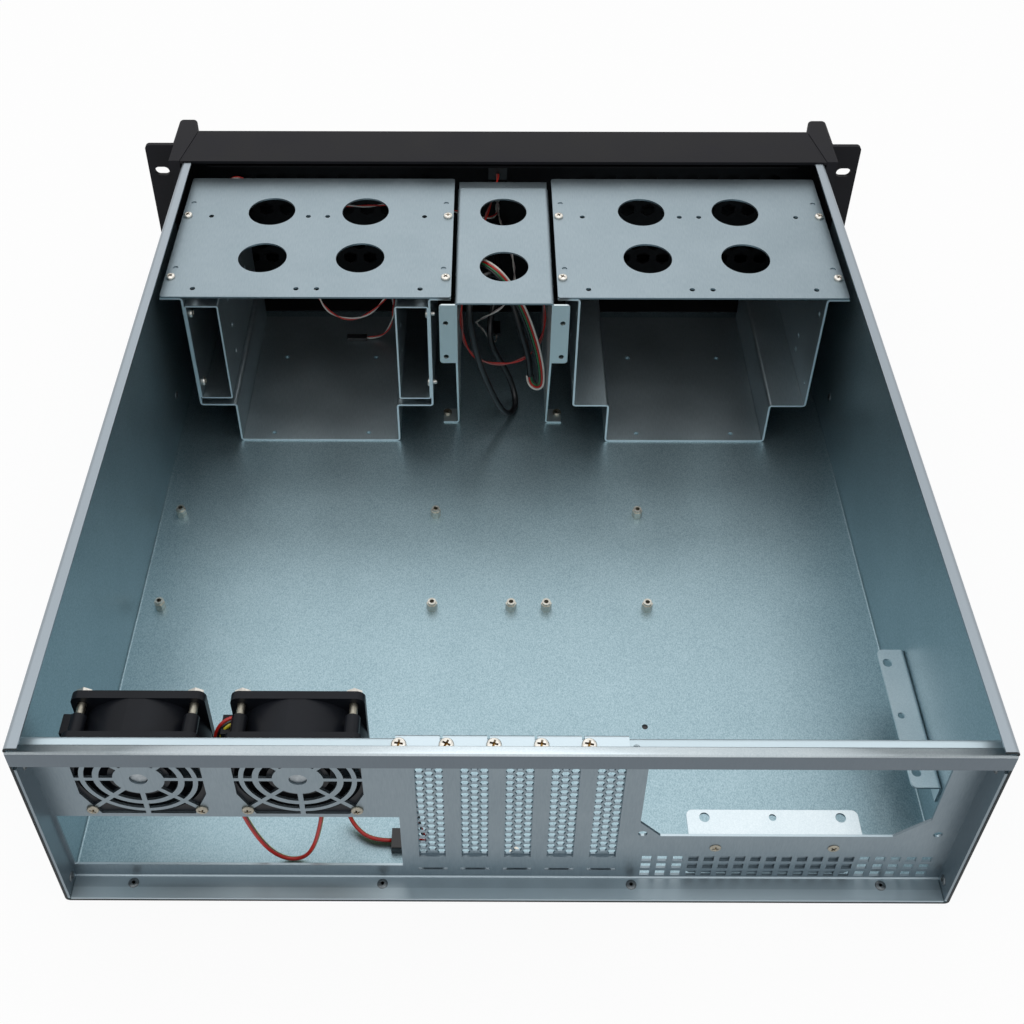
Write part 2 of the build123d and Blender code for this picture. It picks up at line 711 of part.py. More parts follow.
def rear_bracket_place():
    """The rear bracket's place, on the panel's inner face."""
    return Location((rear_bracket_x, panel_in, psu_seat()))


def side_bracket_place():
    """The side bracket's place, on the right wall's inner face."""
    return Location((-wall_in, rear_y - side_bracket_from_rear, psu_seat()), (0, 0, 90))


def bracket_screws():
    """Two screws for each power supply bracket, headed inside on the side wall and outside at the rear."""
    screws = []
    for side in (-1, 1):
        local = Location((side * bracket_screw_pitch / 2, 0, -bracket_screw_drop))
        rear = (rear_bracket_place() * local).position + Vector(0, sheet, 0)
        wall = (side_bracket_place() * local).position + Vector(sheet, 0, 0)
        screws.append(screw(rear, (0, 1, 0), 4.0))
        screws.append(screw(wall, (1, 0, 0), 2 * sheet - nest_gap))
    return screws


def standoffs():
    """Hexagonal threaded posts in the board's hole pattern."""
    post = extrude(RegularPolygon(standoff_flats / 2, 6, major_radius=False), standoff_height - standoff_neck)
    post += Pos(0, 0, standoff_height - standoff_neck) * extrude(Circle(standoff_neck_radius), standoff_neck)
    post -= Pos(0, 0, 1.0) * extrude(Circle(standoff_bore), standoff_height)
    posts = []
    for column, row in standoff_places:
        x = board_edge_x - board_columns[column]
        y = rear_y - board_first_row - board_rows[row]
        posts.append(Pos(x, y, floor_z) * post)
    return posts


def drive_cage(side):
    """Stepped channel: a wide upper part, a narrow lower part, and flanges that carry the top plate."""
    wide = cage_upper_width / 2 - sheet / 2
    narrow = cage_lower_width / 2 - sheet / 2
    rim = cage_plate_width / 2
    top = cage_top_z - sheet / 2
    step = cage_step_z + sheet / 2
    base = floor_z + sheet / 2
    points = [(-rim, top), (-wide, top), (-wide, step), (-narrow, step), (-narrow, base)]
    points += [(narrow, base), (narrow, step), (wide, step), (wide, top), (rim, top)]
    middle = rear_y - (cage_front + cage_rear) / 2
    cage = Pos(side * cage_x, middle, 0) * folded(Plane.XZ, points, cage_front - cage_rear)
    return cage - cage_holes(side)


def cage_holes(side):
    """Cutters for a cage's base, its side walls and its flanges."""
    centre = side * cage_x
    cutters = []
    for out in (-1, 1):
        for back in base_hole_from_rear:
            at = (centre + out * base_hole_x, rear_y - back, floor_z)
            cutters.append(drill(at, (0, 0, 1), hole_radius, 4 * sheet))
        for back in plate_screw_from_rear:
            at = (centre + out * plate_screw_x, rear_y - back, cage_top_z)
            cutters.append(drill(at, (0, 0, 1), hole_radius))
        for back in bay_hole_from_rear:
            for z in bay_hole_levels():
                at = (centre + out * cage_upper_width / 2, rear_y - back, z)
                cutters.append(drill(at, (1, 0, 0), hole_radius))
        for z in adapter_screw_z:
            at = (centre + out * cage_upper_width / 2, adapter_screw_y(), z)
            cutters.append(drill(at, (1, 0, 0), hole_radius))
    return cutters


def bay_hole_levels():
    """The heights of the drive screws in the two wide bays."""
    floors = [z - wide_cover[1] / 2 for z in wide_cover_z]
    return [low + height for low in floors for height in bay_hole_height]


def adapter_screw_y():
    """The place along the case of the screws that hold the adapters."""
    return rear_y - cage_rear - adapter_screw_inset


def cage_top_plate(side):
    """Flat plate with four large holes, eight small ones, its screw holes and two pairs of dimples."""
    centre = side * cage_x
    middle = rear_y - (cage_front + cage_rear) / 2
    plate = RectangleRounded(cage_plate_width, cage_front - cage_rear, 1.5)
    places = Pos(0, rear_y - access_rear - access_pitch[1] / 2 - middle)
    plate -= places * GridLocations(*access_pitch, 2, 2) * Circle(access_radius)
    for out in (-1, 1):
        for x in plate_hole_x:
            for back in plate_hole_from_rear:
                plate -= Pos(out * x, rear_y - back - middle) * Circle(hole_radius)
        for back in plate_screw_from_rear:
            plate -= Pos(out * plate_screw_x, rear_y - back - middle) * Circle(hole_radius)
    plate = Pos(centre, middle, cage_top_z) * extrude(plate, sheet)
    for out in (-1, 1):
        for back in dimple_from_rear:
            at = (centre + out * dimple_x, rear_y - back, cage_top_z + sheet)
            plate -= drill(at, (0, 0, 1), 1.6, sheet)
    return plate


def cage_plate_screws():
    """Four screws for each top plate."""
    screws = []
    for side in (left_side, right_side):
        for out in (-1, 1):
            for back in plate_screw_from_rear:
                at = (side * cage_x + out * plate_screw_x, rear_y - back, cage_top_z + sheet)
                screws.append(screw(at, (0, 0, 1), 4.5))
    return screws


def bay_adapter(out):
    """A rectangular frame folded round a space, screwed to one side wall of the left cage."""
    width = adapter_width - adapter_sheet
    height = adapter_height - adapter_sheet
    wall = RectangleRounded(width + adapter_sheet, height + adapter_sheet, 1.6)
    wall -= RectangleRounded(width - adapter_sheet, height - adapter_sheet, 0.6)
    seat = cage_upper_width / 2 - sheet - adapter_width / 2
    middle = Pos(cage_x + out * seat, adapter_low_z + adapter_height / 2)
    frame = extrude(Plane.XZ * middle * wall, adapter_length)
    frame = Pos(0, rear_y - cage_rear, 0) * frame
    for z in adapter_screw_z:
        at = (cage_x + out * (seat + adapter_width / 2), adapter_screw_y(), z)
        frame -= drill(at, (1, 0, 0), hole_radius)
    for inset in adapter_hole_inset:
        for z in adapter_hole_z:
            at = (cage_x + out * (seat - adapter_width / 2), rear_y - cage_rear - inset, z)
            frame -= drill(at, (1, 0, 0), hole_radius, 4.0)
    return frame


def adapter_screws():
    """Two screws in each adapter, headed inside the frame."""
    screws = []
    for out in (-1, 1):
        for z in adapter_screw_z:
            face = cage_x + out * (cage_upper_width / 2 - sheet - adapter_sheet)
            at = (face, adapter_screw_y(), z)
            screws.append(screw(at, (-out, 0, 0), 4.5))
    return screws


def centre_bridge():
    """Inverted channel between the cages, with two rear tabs and four feet."""
    half = bridge_width / 2 - sheet / 2
    top = cage_top_z + sheet / 2
    seat = floor_z + sheet / 2
    toe = half + foot_size[0]
    points = [(-toe, seat), (-half, seat), (-half, top), (half, top), (half, seat), (toe, seat)]
    length = bridge_front - bridge_rear
    bridge = Pos(0, rear_y - (bridge_front + bridge_rear) / 2, 0) * folded(Plane.XZ, points, length)
    bridge -= bridge_side_cuts()
    nose_z = (top - sheet / 2 - bridge_nose_drop, top + sheet / 2 - bridge_nose_drop)
    front = rear_y - bridge_front
    bridge += block((-half, half), (front - bridge_nose, front), nose_z)
    bridge += block((-half, half), (front, front + sheet), (nose_z[0], top))
    for back in bridge_hole_from_rear:
        bridge -= drill((0, rear_y - back, top), (0, 0, 1), access_radius)
    rear = rear_y - bridge_rear
    for side in (left_side, right_side):
        x = (side * half, side * (half + sheet / 2 + bridge_tab_width))
        tab = block(x, (rear - sheet, rear), bridge_tab_z)
        corners = tab.edges().filter_by(Axis.Y).group_by(Axis.X)[-1 if side > 0 else 0]
        bridge += fillet(corners, 2.0)
        for z in bridge_tab_hole_z:
            at = (side * (bridge_width / 2 + bridge_tab_width * 0.6), rear, z)
            bridge -= drill(at, (0, 1, 0), hole_radius)
        bridge -= drill(foot_hole(side), (0, 0, 1), hole_radius)
    return bridge


def bridge_side_cuts():
    """Cutters that leave a foot at each end and slope the walls' rear edges towards the floor."""
    rear = rear_y - bridge_rear
    foot_rear = rear_y - bridge_foot_rear
    front = rear_y - bridge_front
    low_z = bridge_tab_z[0]
    slope = outline([(rear + 1, low_z), (rear, low_z), (foot_rear, floor_z + sheet), (foot_rear, 0), (rear + 1, 0)])
    cutters = [extrude(Plane.YZ * slope, bridge_width, both=True)]
    for side in (left_side, right_side):
        x = (side * bridge_width / 2, side * bridge_width)
        between = (front + foot_size[1], foot_rear - foot_size[1])
        cutters.append(block(x, between, (0, low_z)))
    return cutters


def foot_screws():
    """One screw in each rear foot of the centre bridge."""
    return [screw(Vector(*foot_hole(side)) + Vector(0, 0, sheet), (0, 0, 1), 2 * sheet) for side in (-1, 1)]


def honeycomb():
    """Six-sided vents in front of the two wide bays of each cage."""
    cut = Sketch()
    for side in (left_side, right_side):
        for low in (z - comb_below_bay for z in wide_cover_z):
            for row in range(comb_rows):
                shift = comb_pitch[0] / 4 * (1 if row % 2 else -1)
                middle = Pos(side * cage_x + shift, low + row * comb_pitch[1])
                cell = Rot(0, 0, 30) * RegularPolygon(comb_radius, 6)
                cut += [middle * place * cell for place in GridLocations(comb_pitch[0], 1, comb_columns, 1)]
    return cut


def front_plate():
    """Black steel pan: an upright with vents, a top and a bottom flange and two side returns."""
    upright = ear_y + sheet / 2
    top = front_flange_z - sheet / 2
    seat = floor_z + sheet / 2
    points = [(ear_y + front_flange_depth, top), (upright, top), (upright, seat), (ear_y + front_flange_depth, seat)]
    plate = folded(Plane.YZ, points, front_flange_width)
    side = wall_in - nest_gap - sheet / 2
    back = ear_y + side_return
    points = [(-side, back), (-side, upright), (side, upright), (side, back)]
    low, high = side_return_z
    plate += Pos(0, 0, (low + high) / 2) * folded(Plane.XY, points, high - low)
    cut = honeycomb()
    cut += Pos(control_x, power_z) * Circle(plunger_radius + button_gap)
    cut += Pos(control_x, reset_z) * Circle(plunger_radius + button_gap)
    cut += [Pos(control_x, z) * Circle(indicator_radius + button_gap) for z in indicator_z]
    cut += Pos(control_x, usb_z) * Rectangle(usb_size[0] + 0.4, usb_size[1] + 0.4)
    return plate - Pos(0, upright, 0) * extrude(Plane.XZ * cut, 2 * sheet, both=True)


def bay_openings():
    """Flat openings of the bezel: two wide bays and a narrow one for each cage, and the controls."""
    cut = Sketch()
    bay_low = wide_cover_z[0] - wide_cover[1] / 2 - cover_gap
    bay_high = wide_cover_z[1] + wide_cover[1] / 2 + cover_gap
    for side in (left_side, right_side):
        middle = Pos(side * cage_x, (bay_low + bay_high) / 2)
        cut += middle * Rectangle(wide_cover[0] + 2 * cover_gap, bay_high - bay_low)
        cut += Pos(side * cage_x, narrow_cover_z) * Rectangle(*(size + 2 * cover_gap for size in narrow_cover))
    cut += Pos(control_x, power_z) * Circle(power_cap_radius + button_gap)
    cut += Pos(control_x, reset_z) * Circle(reset_cap_radius + button_gap)
    cut += [Pos(control_x, z) * Circle(indicator_radius + 0.05) for z in indicator_z]
    cut += Pos(control_x, usb_z) * Rectangle(usb_size[0] + 0.2, usb_size[1] + 0.2)
    return cut


def bezel_plan(inset, front, rear):
    """The bezel seen from above, drawn between two places along the case."""
    lean = (seam_rear_x - seam_front_x) / (bezel_depth + handle_rear_overlap)
    near = seam_front_x - inset
    ends = [(y, near + lean * (y - (ear_y - bezel_depth))) for y in (front, rear)]
    points = [(ends[0][1], ends[0][0]), (ends[1][1], ends[1][0])]
    points += [(-ends[1][1], ends[1][0]), (-ends[0][1], ends[0][0])]
    return outline(points)


def front_bezel():
    """Black front cover: a shallow box with bay openings and a roof that reaches back over the tray."""
    front = ear_y - bezel_depth
    top = rack_height - bezel_top_gap
    low = bezel_top_gap
    shell = Pos(0, 0, low) * extrude(bezel_plan(bezel_seam_gap, front, ear_y), top - low)
    inner = bezel_plan(bezel_seam_gap + bezel_wall, front + bezel_wall, ear_y + 1)
    shell -= Pos(0, 0, low + bezel_wall) * extrude(inner, top - low - 2 * bezel_wall)
    roof_rear = ear_y + handle_rear_overlap
    roof = extrude(bezel_plan(bezel_seam_gap, ear_y - bezel_wall, roof_rear), bezel_wall)
    shell += Pos(0, 0, top - bezel_wall) * roof
    shell = fillet(shell.edges().filter_by(Axis.X).group_by(Axis.Y)[0], 1.2)
    wall = Pos(0, front + bezel_wall / 2, 0) * extrude(Plane.XZ * bay_openings(), bezel_wall, both=True)
    return shell - wall


def bay_cover(width, height, x, z, notched):
    """A blanking cover: a rounded face with a rim that reaches back into the bezel's opening."""
    front = ear_y - bezel_depth - 0.4
    face = RectangleRounded(width, height, 1.2)
    cover = extrude(face, bay_cover_depth)
    hollow = RectangleRounded(width - 2 * bay_cover_wall, height - 2 * bay_cover_wall, 0.6)
    cover -= Pos(0, 0, bay_cover_wall) * extrude(hollow, bay_cover_depth)
    cover = fillet(cover.edges().group_by(Axis.Z)[0], 0.8)
    if notched:
        groove = Pos(0, -height / 2 + grip_notch[1], -1) * extrude(SlotOverall(*grip_notch), 1 + 0.9)
        cover -= groove
    return Plane((x, front, z), x_dir=(1, 0, 0), z_dir=(0, 1, 0)) * cover


def switch_body(z):
    """A switch behind the front plate, with the bore that guides its plunger."""
    back = ear_y + sheet
    size = (control_x - switch_width / 2, control_x + switch_width / 2)
    body = block(size, (back, back + switch_depth), (z - switch_height / 2, z + switch_height / 2))
    bore = pin((control_x, back - 1, z), (0, 1, 0), plunger_radius + plunger_gap, switch_depth - 1)
    return body - bore


def push_button(z, cap_radius):
    """A round cap on a plunger that runs into the switch."""
    front = ear_y - bezel_depth - button_proud
    cap = pin((control_x, front, z), (0, 1, 0), cap_radius, button_proud + bezel_wall + 2)
    cap = fillet(cap.edges().sort_by(Axis.Y)[0], 0.5)
    tail = ear_y + sheet + switch_depth - 2 - button_travel - 1 - front
    return cap + pin((control_x, front + 1, z), (0, 1, 0), plunger_radius, tail)


def indicator(z):
    """A light guide with a domed front, from the bezel's face to the front plate."""
    front = ear_y - bezel_depth - 0.6
    guide = pin((control_x, front, z), (0, 1, 0), indicator_radius, bezel_depth + sheet + 5)
    return fillet(guide.edges().sort_by(Axis.Y)[0], 0.9)


def usb_block():
    """A double socket that looks out of the bezel and is held in the front plate."""
    front = ear_y - bezel_depth - 0.3
    width, height = usb_size
    body = block(
        (control_x - width / 2, control_x + width / 2),
        (front, front + usb_depth),
        (usb_z - height / 2, usb_z + height / 2),
    )
    for side in (-1, 1):
        z = usb_z + side * usb_port_pitch / 2
        port = (control_x - usb_port[0] / 2, control_x + usb_port[0] / 2)
        mouth = block(port, (front - 1, front + 14), (z - usb_port[1] / 2, z + usb_port[1] / 2))
        tongue = block((port[0] + 1, port[1] - 1), (front + 1, front + 14), (z + 0.2, z + 1.8))
        body = body - mouth + tongue
    return body


def rack_handle(side):
    """Cheek, mounting ear and forward grip, cast in one piece."""
    rear = ear_y + handle_rear_overlap
    front = ear_y - bezel_depth
    seam = [(seam_rear_x, rear), (seam_front_x, front), (tip_inner_x, tip_y)]
    outer = [(handle_outer_x, tip_y), (handle_outer_x, ear_y), (cheek_outer_x, ear_y), (cheek_outer_x, rear)]
    handle = extrude(outline(seam + outer), rack_height)
    tip = handle.edges().filter_by(Axis.Z).group_by(Axis.Y)[0]
    handle = fillet(tip, 3.0)
    handle = fillet(handle.edges().filter_by(Axis.X).group_by(Axis.Y)[0], 2.0)
    roof_low = rack_height - bezel_top_gap - bezel_wall - nest_gap
    tray_room = (0, body_width / 2 + nest_gap)
    handle -= block(tray_room, (ear_y - nest_gap, rear + 1), (-1, roof_low))
    ear_width = rack_width / 2 - seam_rear_x
    ear = Pos(ear_width / 2, 0) * Rectangle(ear_width, rack_height)
    ear = fillet(ear.vertices().group_by(Axis.X)[-1], ear_corner)
    for z in (ear_slot_z, ear_slot_z + ear_slot_pitch_z):
        middle = Pos(ear_slot_pitch_x / 2 - seam_rear_x, z - rack_height / 2)
        ear -= middle * SlotOverall(*ear_slot)
    ear = Pos(seam_rear_x, ear_y, rack_height / 2) * extrude(Plane.XZ * ear, ear_thickness)
    handle += ear
    scoop = Pos(handle_outer_x, front + scoop_width / 3, rack_height / 2)
    bowl = extrude(Plane.YZ * SlotOverall(scoop_height, scoop_width, rotation=90), scoop_depth / 2, both=True)
    handle -= scoop * bowl
    return handle if side > 0 else mirror(handle, Plane.YZ)


def placed(point):
    """A route's point in the case's own axes."""
    x, from_rear, height = point
    return Vector(x, rear_y - from_rear, floor_z + height)


def route(start, inner, end):
    """A lead's whole run of points, from one end to the other."""
    return [Vector(*start)] + [placed(point) for point in inner] + [Vector(*end)]


def corner_radii(points):
    """For each corner of a route, the largest arc that its two runs allow."""
    radii = []
    for before, corner, after in zip(points, points[1:], points[2:]):
        into = corner - before
        out = after - corner
        turn = radians(into.get_angle(out))
        radii.append(0.45 * min(into.length, out.length) / tan(turn / 2))
    return radii


def lead(name, points, thickness):
    """A round lead along straight runs and the arcs between them."""
    radii = corner_radii(points)
    path = FilletPolyline(*points, radius=radii)
    tube = sweep(Plane(path @ 0, z_dir=path % 0) * Circle(thickness / 2), path)
    share = tube.volume / (pi * thickness**2 / 4 * path.length)
    print(name, "length", round(path.length, 1), "volume share", round(share, 4))
    print("  radii", [round(radius, 1) for radius in radii])
    return tube


def plug(points, size):
    """A small connector shell on a lead's last point, in line with its last run."""
    depth, width, length = size
    along = points[-1] - points[-2]
    flat = Vector(-along.Y, along.X, 0)
    shell = Pos(0, 0, length / 2) * Box(width, depth, length)
    shell = fillet(shell.edges().filter_by(Axis.Z), 0.4)
    return Plane(points[-1], x_dir=flat, z_dir=along) * shell


def lead_routes():
    """Every lead's points from end to end."""
    usb_back = (control_x, ear_y - bezel_depth - 0.3 + usb_depth, usb_z)
    switch_back = (control_x, ear_y + sheet + switch_depth, power_z)
    indicator_back = [(control_x, ear_y - 0.6 + sheet + 5, z) for z in indicator_z]
    connector_y = rear_y - fan_connector_from_rear
    connector_z = floor_z + fan_connector_size[1] / 2
    outlet = Vector(fan_x["right"] + lead_outlet_x[1] - lead_outlet_inset, panel_in - sum(lead_outlet_depth) / 2, fan_z + lead_outlet_z[0])
    feed = Vector(fan_x["right"] - fan_size / 2 - nest_gap - feed_plug_size[2], rear_y - feed_plug_from_rear, feed_plug_z)
    return {
        "usb_lead": route(usb_back, usb_lead_route, placed(jacket_end)),
        "usb_wires": route(placed(jacket_end), usb_wires_route, placed(usb_plug_end)),
        "switch_lead": route(switch_back, switch_lead_route, placed(switch_plug_end)),
        "power_indicator_lead": route(indicator_back[0], indicator_lead_route, placed(indicator_plug_end)),
        "disk_indicator_lead": route(indicator_back[1], bay_lead_route, placed(bay_plug_end)),
        "fan_lead": route(outlet, fan_lead_route, (fan_connector_x[1], connector_y, connector_z)),
        "fan_feed_lead": route((fan_connector_x[0], connector_y, connector_z), fan_feed_route, feed),
    }


def fan_connectors():
    """The connector on the floor behind the panel, and the plug beside the right fan."""
    depth, height = fan_connector_size
    middle = rear_y - fan_connector_from_rear
    shell = block(fan_connector_x, (middle - depth / 2, middle + depth / 2), (floor_z, floor_z + height))
    shell = fillet(shell.edges().filter_by(Axis.X), 0.6)
    width, tall, length = feed_plug_size
    right = fan_x["right"] - fan_size / 2 - nest_gap
    at = Pos(right - length / 2, rear_y - feed_plug_from_rear, feed_plug_z)
    return [shell, at * fillet(Box(length, tall, width).edges().filter_by(Axis.X), 0.5)]


def save_leads():
    """Makes the leads and the shells on their ends."""
    routes = lead_routes()
    thickness = {
        "usb_lead": usb_lead_thickness,
        "usb_wires": usb_wires_thickness,
        "switch_lead": switch_lead_thickness,
        "power_indicator_lead": indicator_lead_thickness,
        "disk_indicator_lead": bay_lead_thickness,
        "fan_lead": fan_lead_thickness,
        "fan_feed_lead": fan_lead_thickness,
    }
    for name, points in routes.items():
        save(name, lead(name, points, thickness[name]))
    thin, wide, long = header_plug_size
    laid = [plug(routes[name], (thin, wide, long)) for name in ("power_indicator_lead", "disk_indicator_lead")]
    save("header_plugs", plug(routes["switch_lead"], (wide, thin, long)), *laid)
    save("usb_header_plug", plug(routes["usb_wires"], usb_plug_size))
    save("fan_connectors", *fan_connectors())


def build():
    """Makes every node and writes its file."""
    save("base_tray", base_tray())
    save("rear_panel", rear_panel())
    save("tray_rivets", *tray_rivets())
    for index in range(slot_count):
        save(f"slot_cover_{index + 1}", slot_cover(index))
    save("slot_screws", *slot_screws())
    for name, x in fan_x.items():
        save(f"fan_frame_{name}", fan_frame(x))
        save(f"fan_rotor_{name}", fan_rotor(x))
    save("fan_bolts", *fan_bolts())
    save("fan_nuts", *fan_nuts())
    save("psu_bracket_rear", rear_bracket_place() * psu_bracket())
    save("psu_bracket_side", side_bracket_place() * psu_bracket())
    save("psu_bracket_screws", *bracket_screws())
    save("board_standoffs", *standoffs())
    for name, side in (("left", left_side), ("right", right_side)):
        save(f"drive_cage_{name}", drive_cage(side))
        save(f"cage_top_plate_{name}", cage_top_plate(side))
        save(f"rack_handle_{name}", rack_handle(side))
        for level, z in zip(("lower", "upper"), wide_cover_z):
            save(f"wide_bay_cover_{level}_{name}", bay_cover(*wide_cover, side * cage_x, z, True))
        save(f"narrow_bay_cover_{name}", bay_cover(*narrow_cover, side * cage_x, narrow_cover_z, False))
    save("cage_plate_screws", *cage_plate_screws())
    save("bay_adapter_outer", bay_adapter(1))
    save("bay_adapter_inner", bay_adapter(-1))
    save("adapter_screws", *adapter_screws())
    save("centre_bridge", centre_bridge())
    save("bridge_foot_screws", *foot_screws())
    save("front_plate", front_plate())
    save("front_bezel", front_bezel())
    save("power_switch", switch_body(power_z))
    save("reset_switch", switch_body(reset_z))
    save("power_button", push_button(power_z, power_cap_radius))
    save("reset_button", push_button(reset_z, reset_cap_radius))
    save("power_indicator", indicator(indicator_z[0]))
    save("disk_indicator", indicator(indicator_z[1]))
    save("usb_socket", usb_block())
    save_leads()


os.makedirs("parts", exist_ok=True)
build()
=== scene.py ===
# %% [markdown]
# # Dressing an empty rackmount server case
#
# The case is a 3U, 19 inch chassis with its lid off: a galvanised steel tray with a recessed rear panel, two
# drive cages joined by a bridge, two small exhaust fans and a black front. The solid model already gives every
# size and place. This lesson adds what makes it look real: the rolled and plated surfaces, cross recesses in
# the screws, the heads of the rivets, and the leads that hang behind the controls and the fans.
#
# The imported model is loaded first, and everything after it is placed in the same frame, in metres, with +Z up,
# the front towards -Y and the rear panel towards +Y.

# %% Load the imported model
import math
import bpy
from bpy_extras.object_utils import world_to_camera_view
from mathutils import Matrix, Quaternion, Vector


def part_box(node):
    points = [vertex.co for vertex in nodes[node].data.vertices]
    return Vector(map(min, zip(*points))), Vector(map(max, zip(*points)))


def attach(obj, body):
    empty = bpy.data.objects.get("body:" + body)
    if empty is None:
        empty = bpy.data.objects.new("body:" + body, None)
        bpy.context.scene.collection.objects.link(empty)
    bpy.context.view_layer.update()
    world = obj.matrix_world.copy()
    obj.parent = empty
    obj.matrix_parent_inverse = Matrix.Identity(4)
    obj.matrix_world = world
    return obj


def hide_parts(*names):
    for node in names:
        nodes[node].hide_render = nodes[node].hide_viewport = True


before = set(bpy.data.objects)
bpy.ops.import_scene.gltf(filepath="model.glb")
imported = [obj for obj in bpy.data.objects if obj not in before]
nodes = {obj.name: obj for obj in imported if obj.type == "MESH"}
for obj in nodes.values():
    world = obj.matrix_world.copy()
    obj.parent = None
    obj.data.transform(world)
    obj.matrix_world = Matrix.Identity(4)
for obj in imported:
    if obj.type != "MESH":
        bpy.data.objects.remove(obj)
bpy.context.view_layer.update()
mm = 0.001

# %% [markdown]
# ## The camera
#
# A product photographer stood behind the case and looked down into it. Vertical edges lean in strongly, so the
# camera was close, under a metre away. Its place, tilt and lens were worked out from the known corners of the
# case: a body 426 mm wide and 464.5 mm long. The picture was cropped off centre, and a small lens shift does
# the same here, without turning the camera.

# %% Camera
picture = 1024
lens_pixels = 1346.0
lens_middle = (482.4, 383.5)
camera_place = Vector((10.5, 562.65, 622.1)) * mm
camera_pitch = math.radians(42.2)
camera_yaw = math.radians(0.24)

lens = bpy.data.cameras.new("camera")
lens.sensor_width = 36.0
lens.lens = lens_pixels / picture * lens.sensor_width
lens.shift_x = (picture / 2 - lens_middle[0]) / picture
lens.shift_y = (lens_middle[1] - picture / 2) / picture
lens.clip_start = 0.01
camera = bpy.data.objects.new("camera", lens)
camera.location = camera_place
camera.rotation_euler = (math.pi / 2 - camera_pitch, 0.0, math.pi + camera_yaw)
bpy.context.scene.collection.objects.link(camera)
bpy.context.scene.camera = camera
bpy.context.view_layer.update()


def seen_at(point):
    """Where the camera sees a point of the frame, in pixels of a square picture."""
    spot = world_to_camera_view(bpy.context.scene, camera, Vector(point))
    aspect = bpy.context.scene.render.resolution_x / bpy.context.scene.render.resolution_y
    return round(spot.x * picture, 1), round(picture / 2 - (spot.y - 0.5) * picture / aspect, 1)


rear, half_width, top_edge = 249.25, 213.0, 131.2
for corner in ((half_width, rear, top_edge), (-half_width, rear, top_edge), (half_width, rear, 0.0)):
    print("a rear corner is seen at", seen_at(Vector(corner) * mm))

# %% [markdown]
# ## Small helpers
#
# Three helpers are enough for most of the work. One turns a hex colour, as read on a screen, into the linear
# numbers that Blender calculates with. One adds a shader or geometry node with its settings and links. One
# makes a mesh object from plain lists of points and faces.

# %% Helpers
def linear(hex_colour):
    """An sRGB hex colour as linear RGBA."""
    parts = [int(hex_colour[i:i + 2], 16) / 255 for i in (1, 3, 5)]
    return [c / 12.92 if c <= 0.04045 else ((c + 0.055) / 1.055) ** 2.4 for c in parts] + [1.0]


def add(tree, kind, links=None, **settings):
    """Adds one node. Links are input names, with a value or another node's output."""
    made = tree.nodes.new(kind)
    for name, value in settings.items():
        setattr(made, name, value)
    for name, value in (links or {}).items():
        if isinstance(value, bpy.types.NodeSocket):
            tree.links.new(value, made.inputs[name])
        else:
            made.inputs[name].default_value = value
    return made


def mesh_object(name, points, faces, smooth=False):
    """A mesh object whose place is in its points."""
    mesh = bpy.data.meshes.new(name)
    mesh.from_pydata([tuple(p) for p in points], [], faces)
    mesh.validate()
    if smooth:
        mesh.shade_smooth()
    made = bpy.data.objects.new(name, mesh)
    bpy.context.scene.collection.objects.link(made)
    return made


print("mid grey as light:", [round(part, 3) for part in linear("#808080")[:3]])

# %% [markdown]
# ## Galvanised steel
#
# The tray, the cages and the panels are zinc coated sheet. The mill rolls it, which leaves very fine straight
# lines along the strip, and the thin zinc layer has a cold blue-grey colour with faint cloudy patches. The
# surface is a metal of middling roughness. Noise that is stretched along the rolling direction draws the lines.
# A real line is about 0.1 mm wide, too fine for this distance, so the pattern is drawn 0.5 to 0.6 mm wide.
# Slow noise, about 35 mm from patch to patch, changes colour and roughness a little, as handling does.
#
# Light and shade are painted into zones of the sheet. The rear panel and the slot covers have a painted highlight
# above their fold and painted shade on the lip under the hem, and the foot of the panel has a painted highlight that
# is brightest along its rim. The tops of the tray's flanges, where the lid slides, are painted a greyer, lit tone. The
# long edges of the rear openings and the rear ends of the cages are painted as light lines, painted highlights, and
# the bridge's tabs and legs are painted lighter. The ends of the tray face away from the light and are painted nearly
# black, as painted shade.

# %% What every material starts with
def new_material(name):
    """A material with an empty tree, its shader and its output."""
    made = bpy.data.materials.new(name)
    made.use_nodes = True
    made.node_tree.nodes.clear()
    shader = add(made.node_tree, "ShaderNodeBsdfPrincipled")
    add(made.node_tree, "ShaderNodeOutputMaterial", {"Surface": shader.outputs["BSDF"]})
    print("material:", name)
    return made, made.node_tree, shader


def two_colours(tree, value, dark, light, low, high):
    """A ramp from a dark to a light colour while a value goes from low to high."""
    ramp = add(tree, "ShaderNodeValToRGB", {"Fac": value})
    for step, position, colour in zip(ramp.color_ramp.elements, (low, high), (dark, light)):
        step.position = position
        step.color = linear(colour)
    return ramp.outputs["Color"]


def ranged(tree, value, first, last, low=0.0, high=1.0):
    """Goes from first to last while a value goes from low to high."""
    limits = {"From Min": low, "From Max": high, "To Min": first, "To Max": last}
    return add(tree, "ShaderNodeMapRange", {"Value": value, **limits}).outputs["Result"]


# %% Galvanised steel: the material
patch_size = 35.0


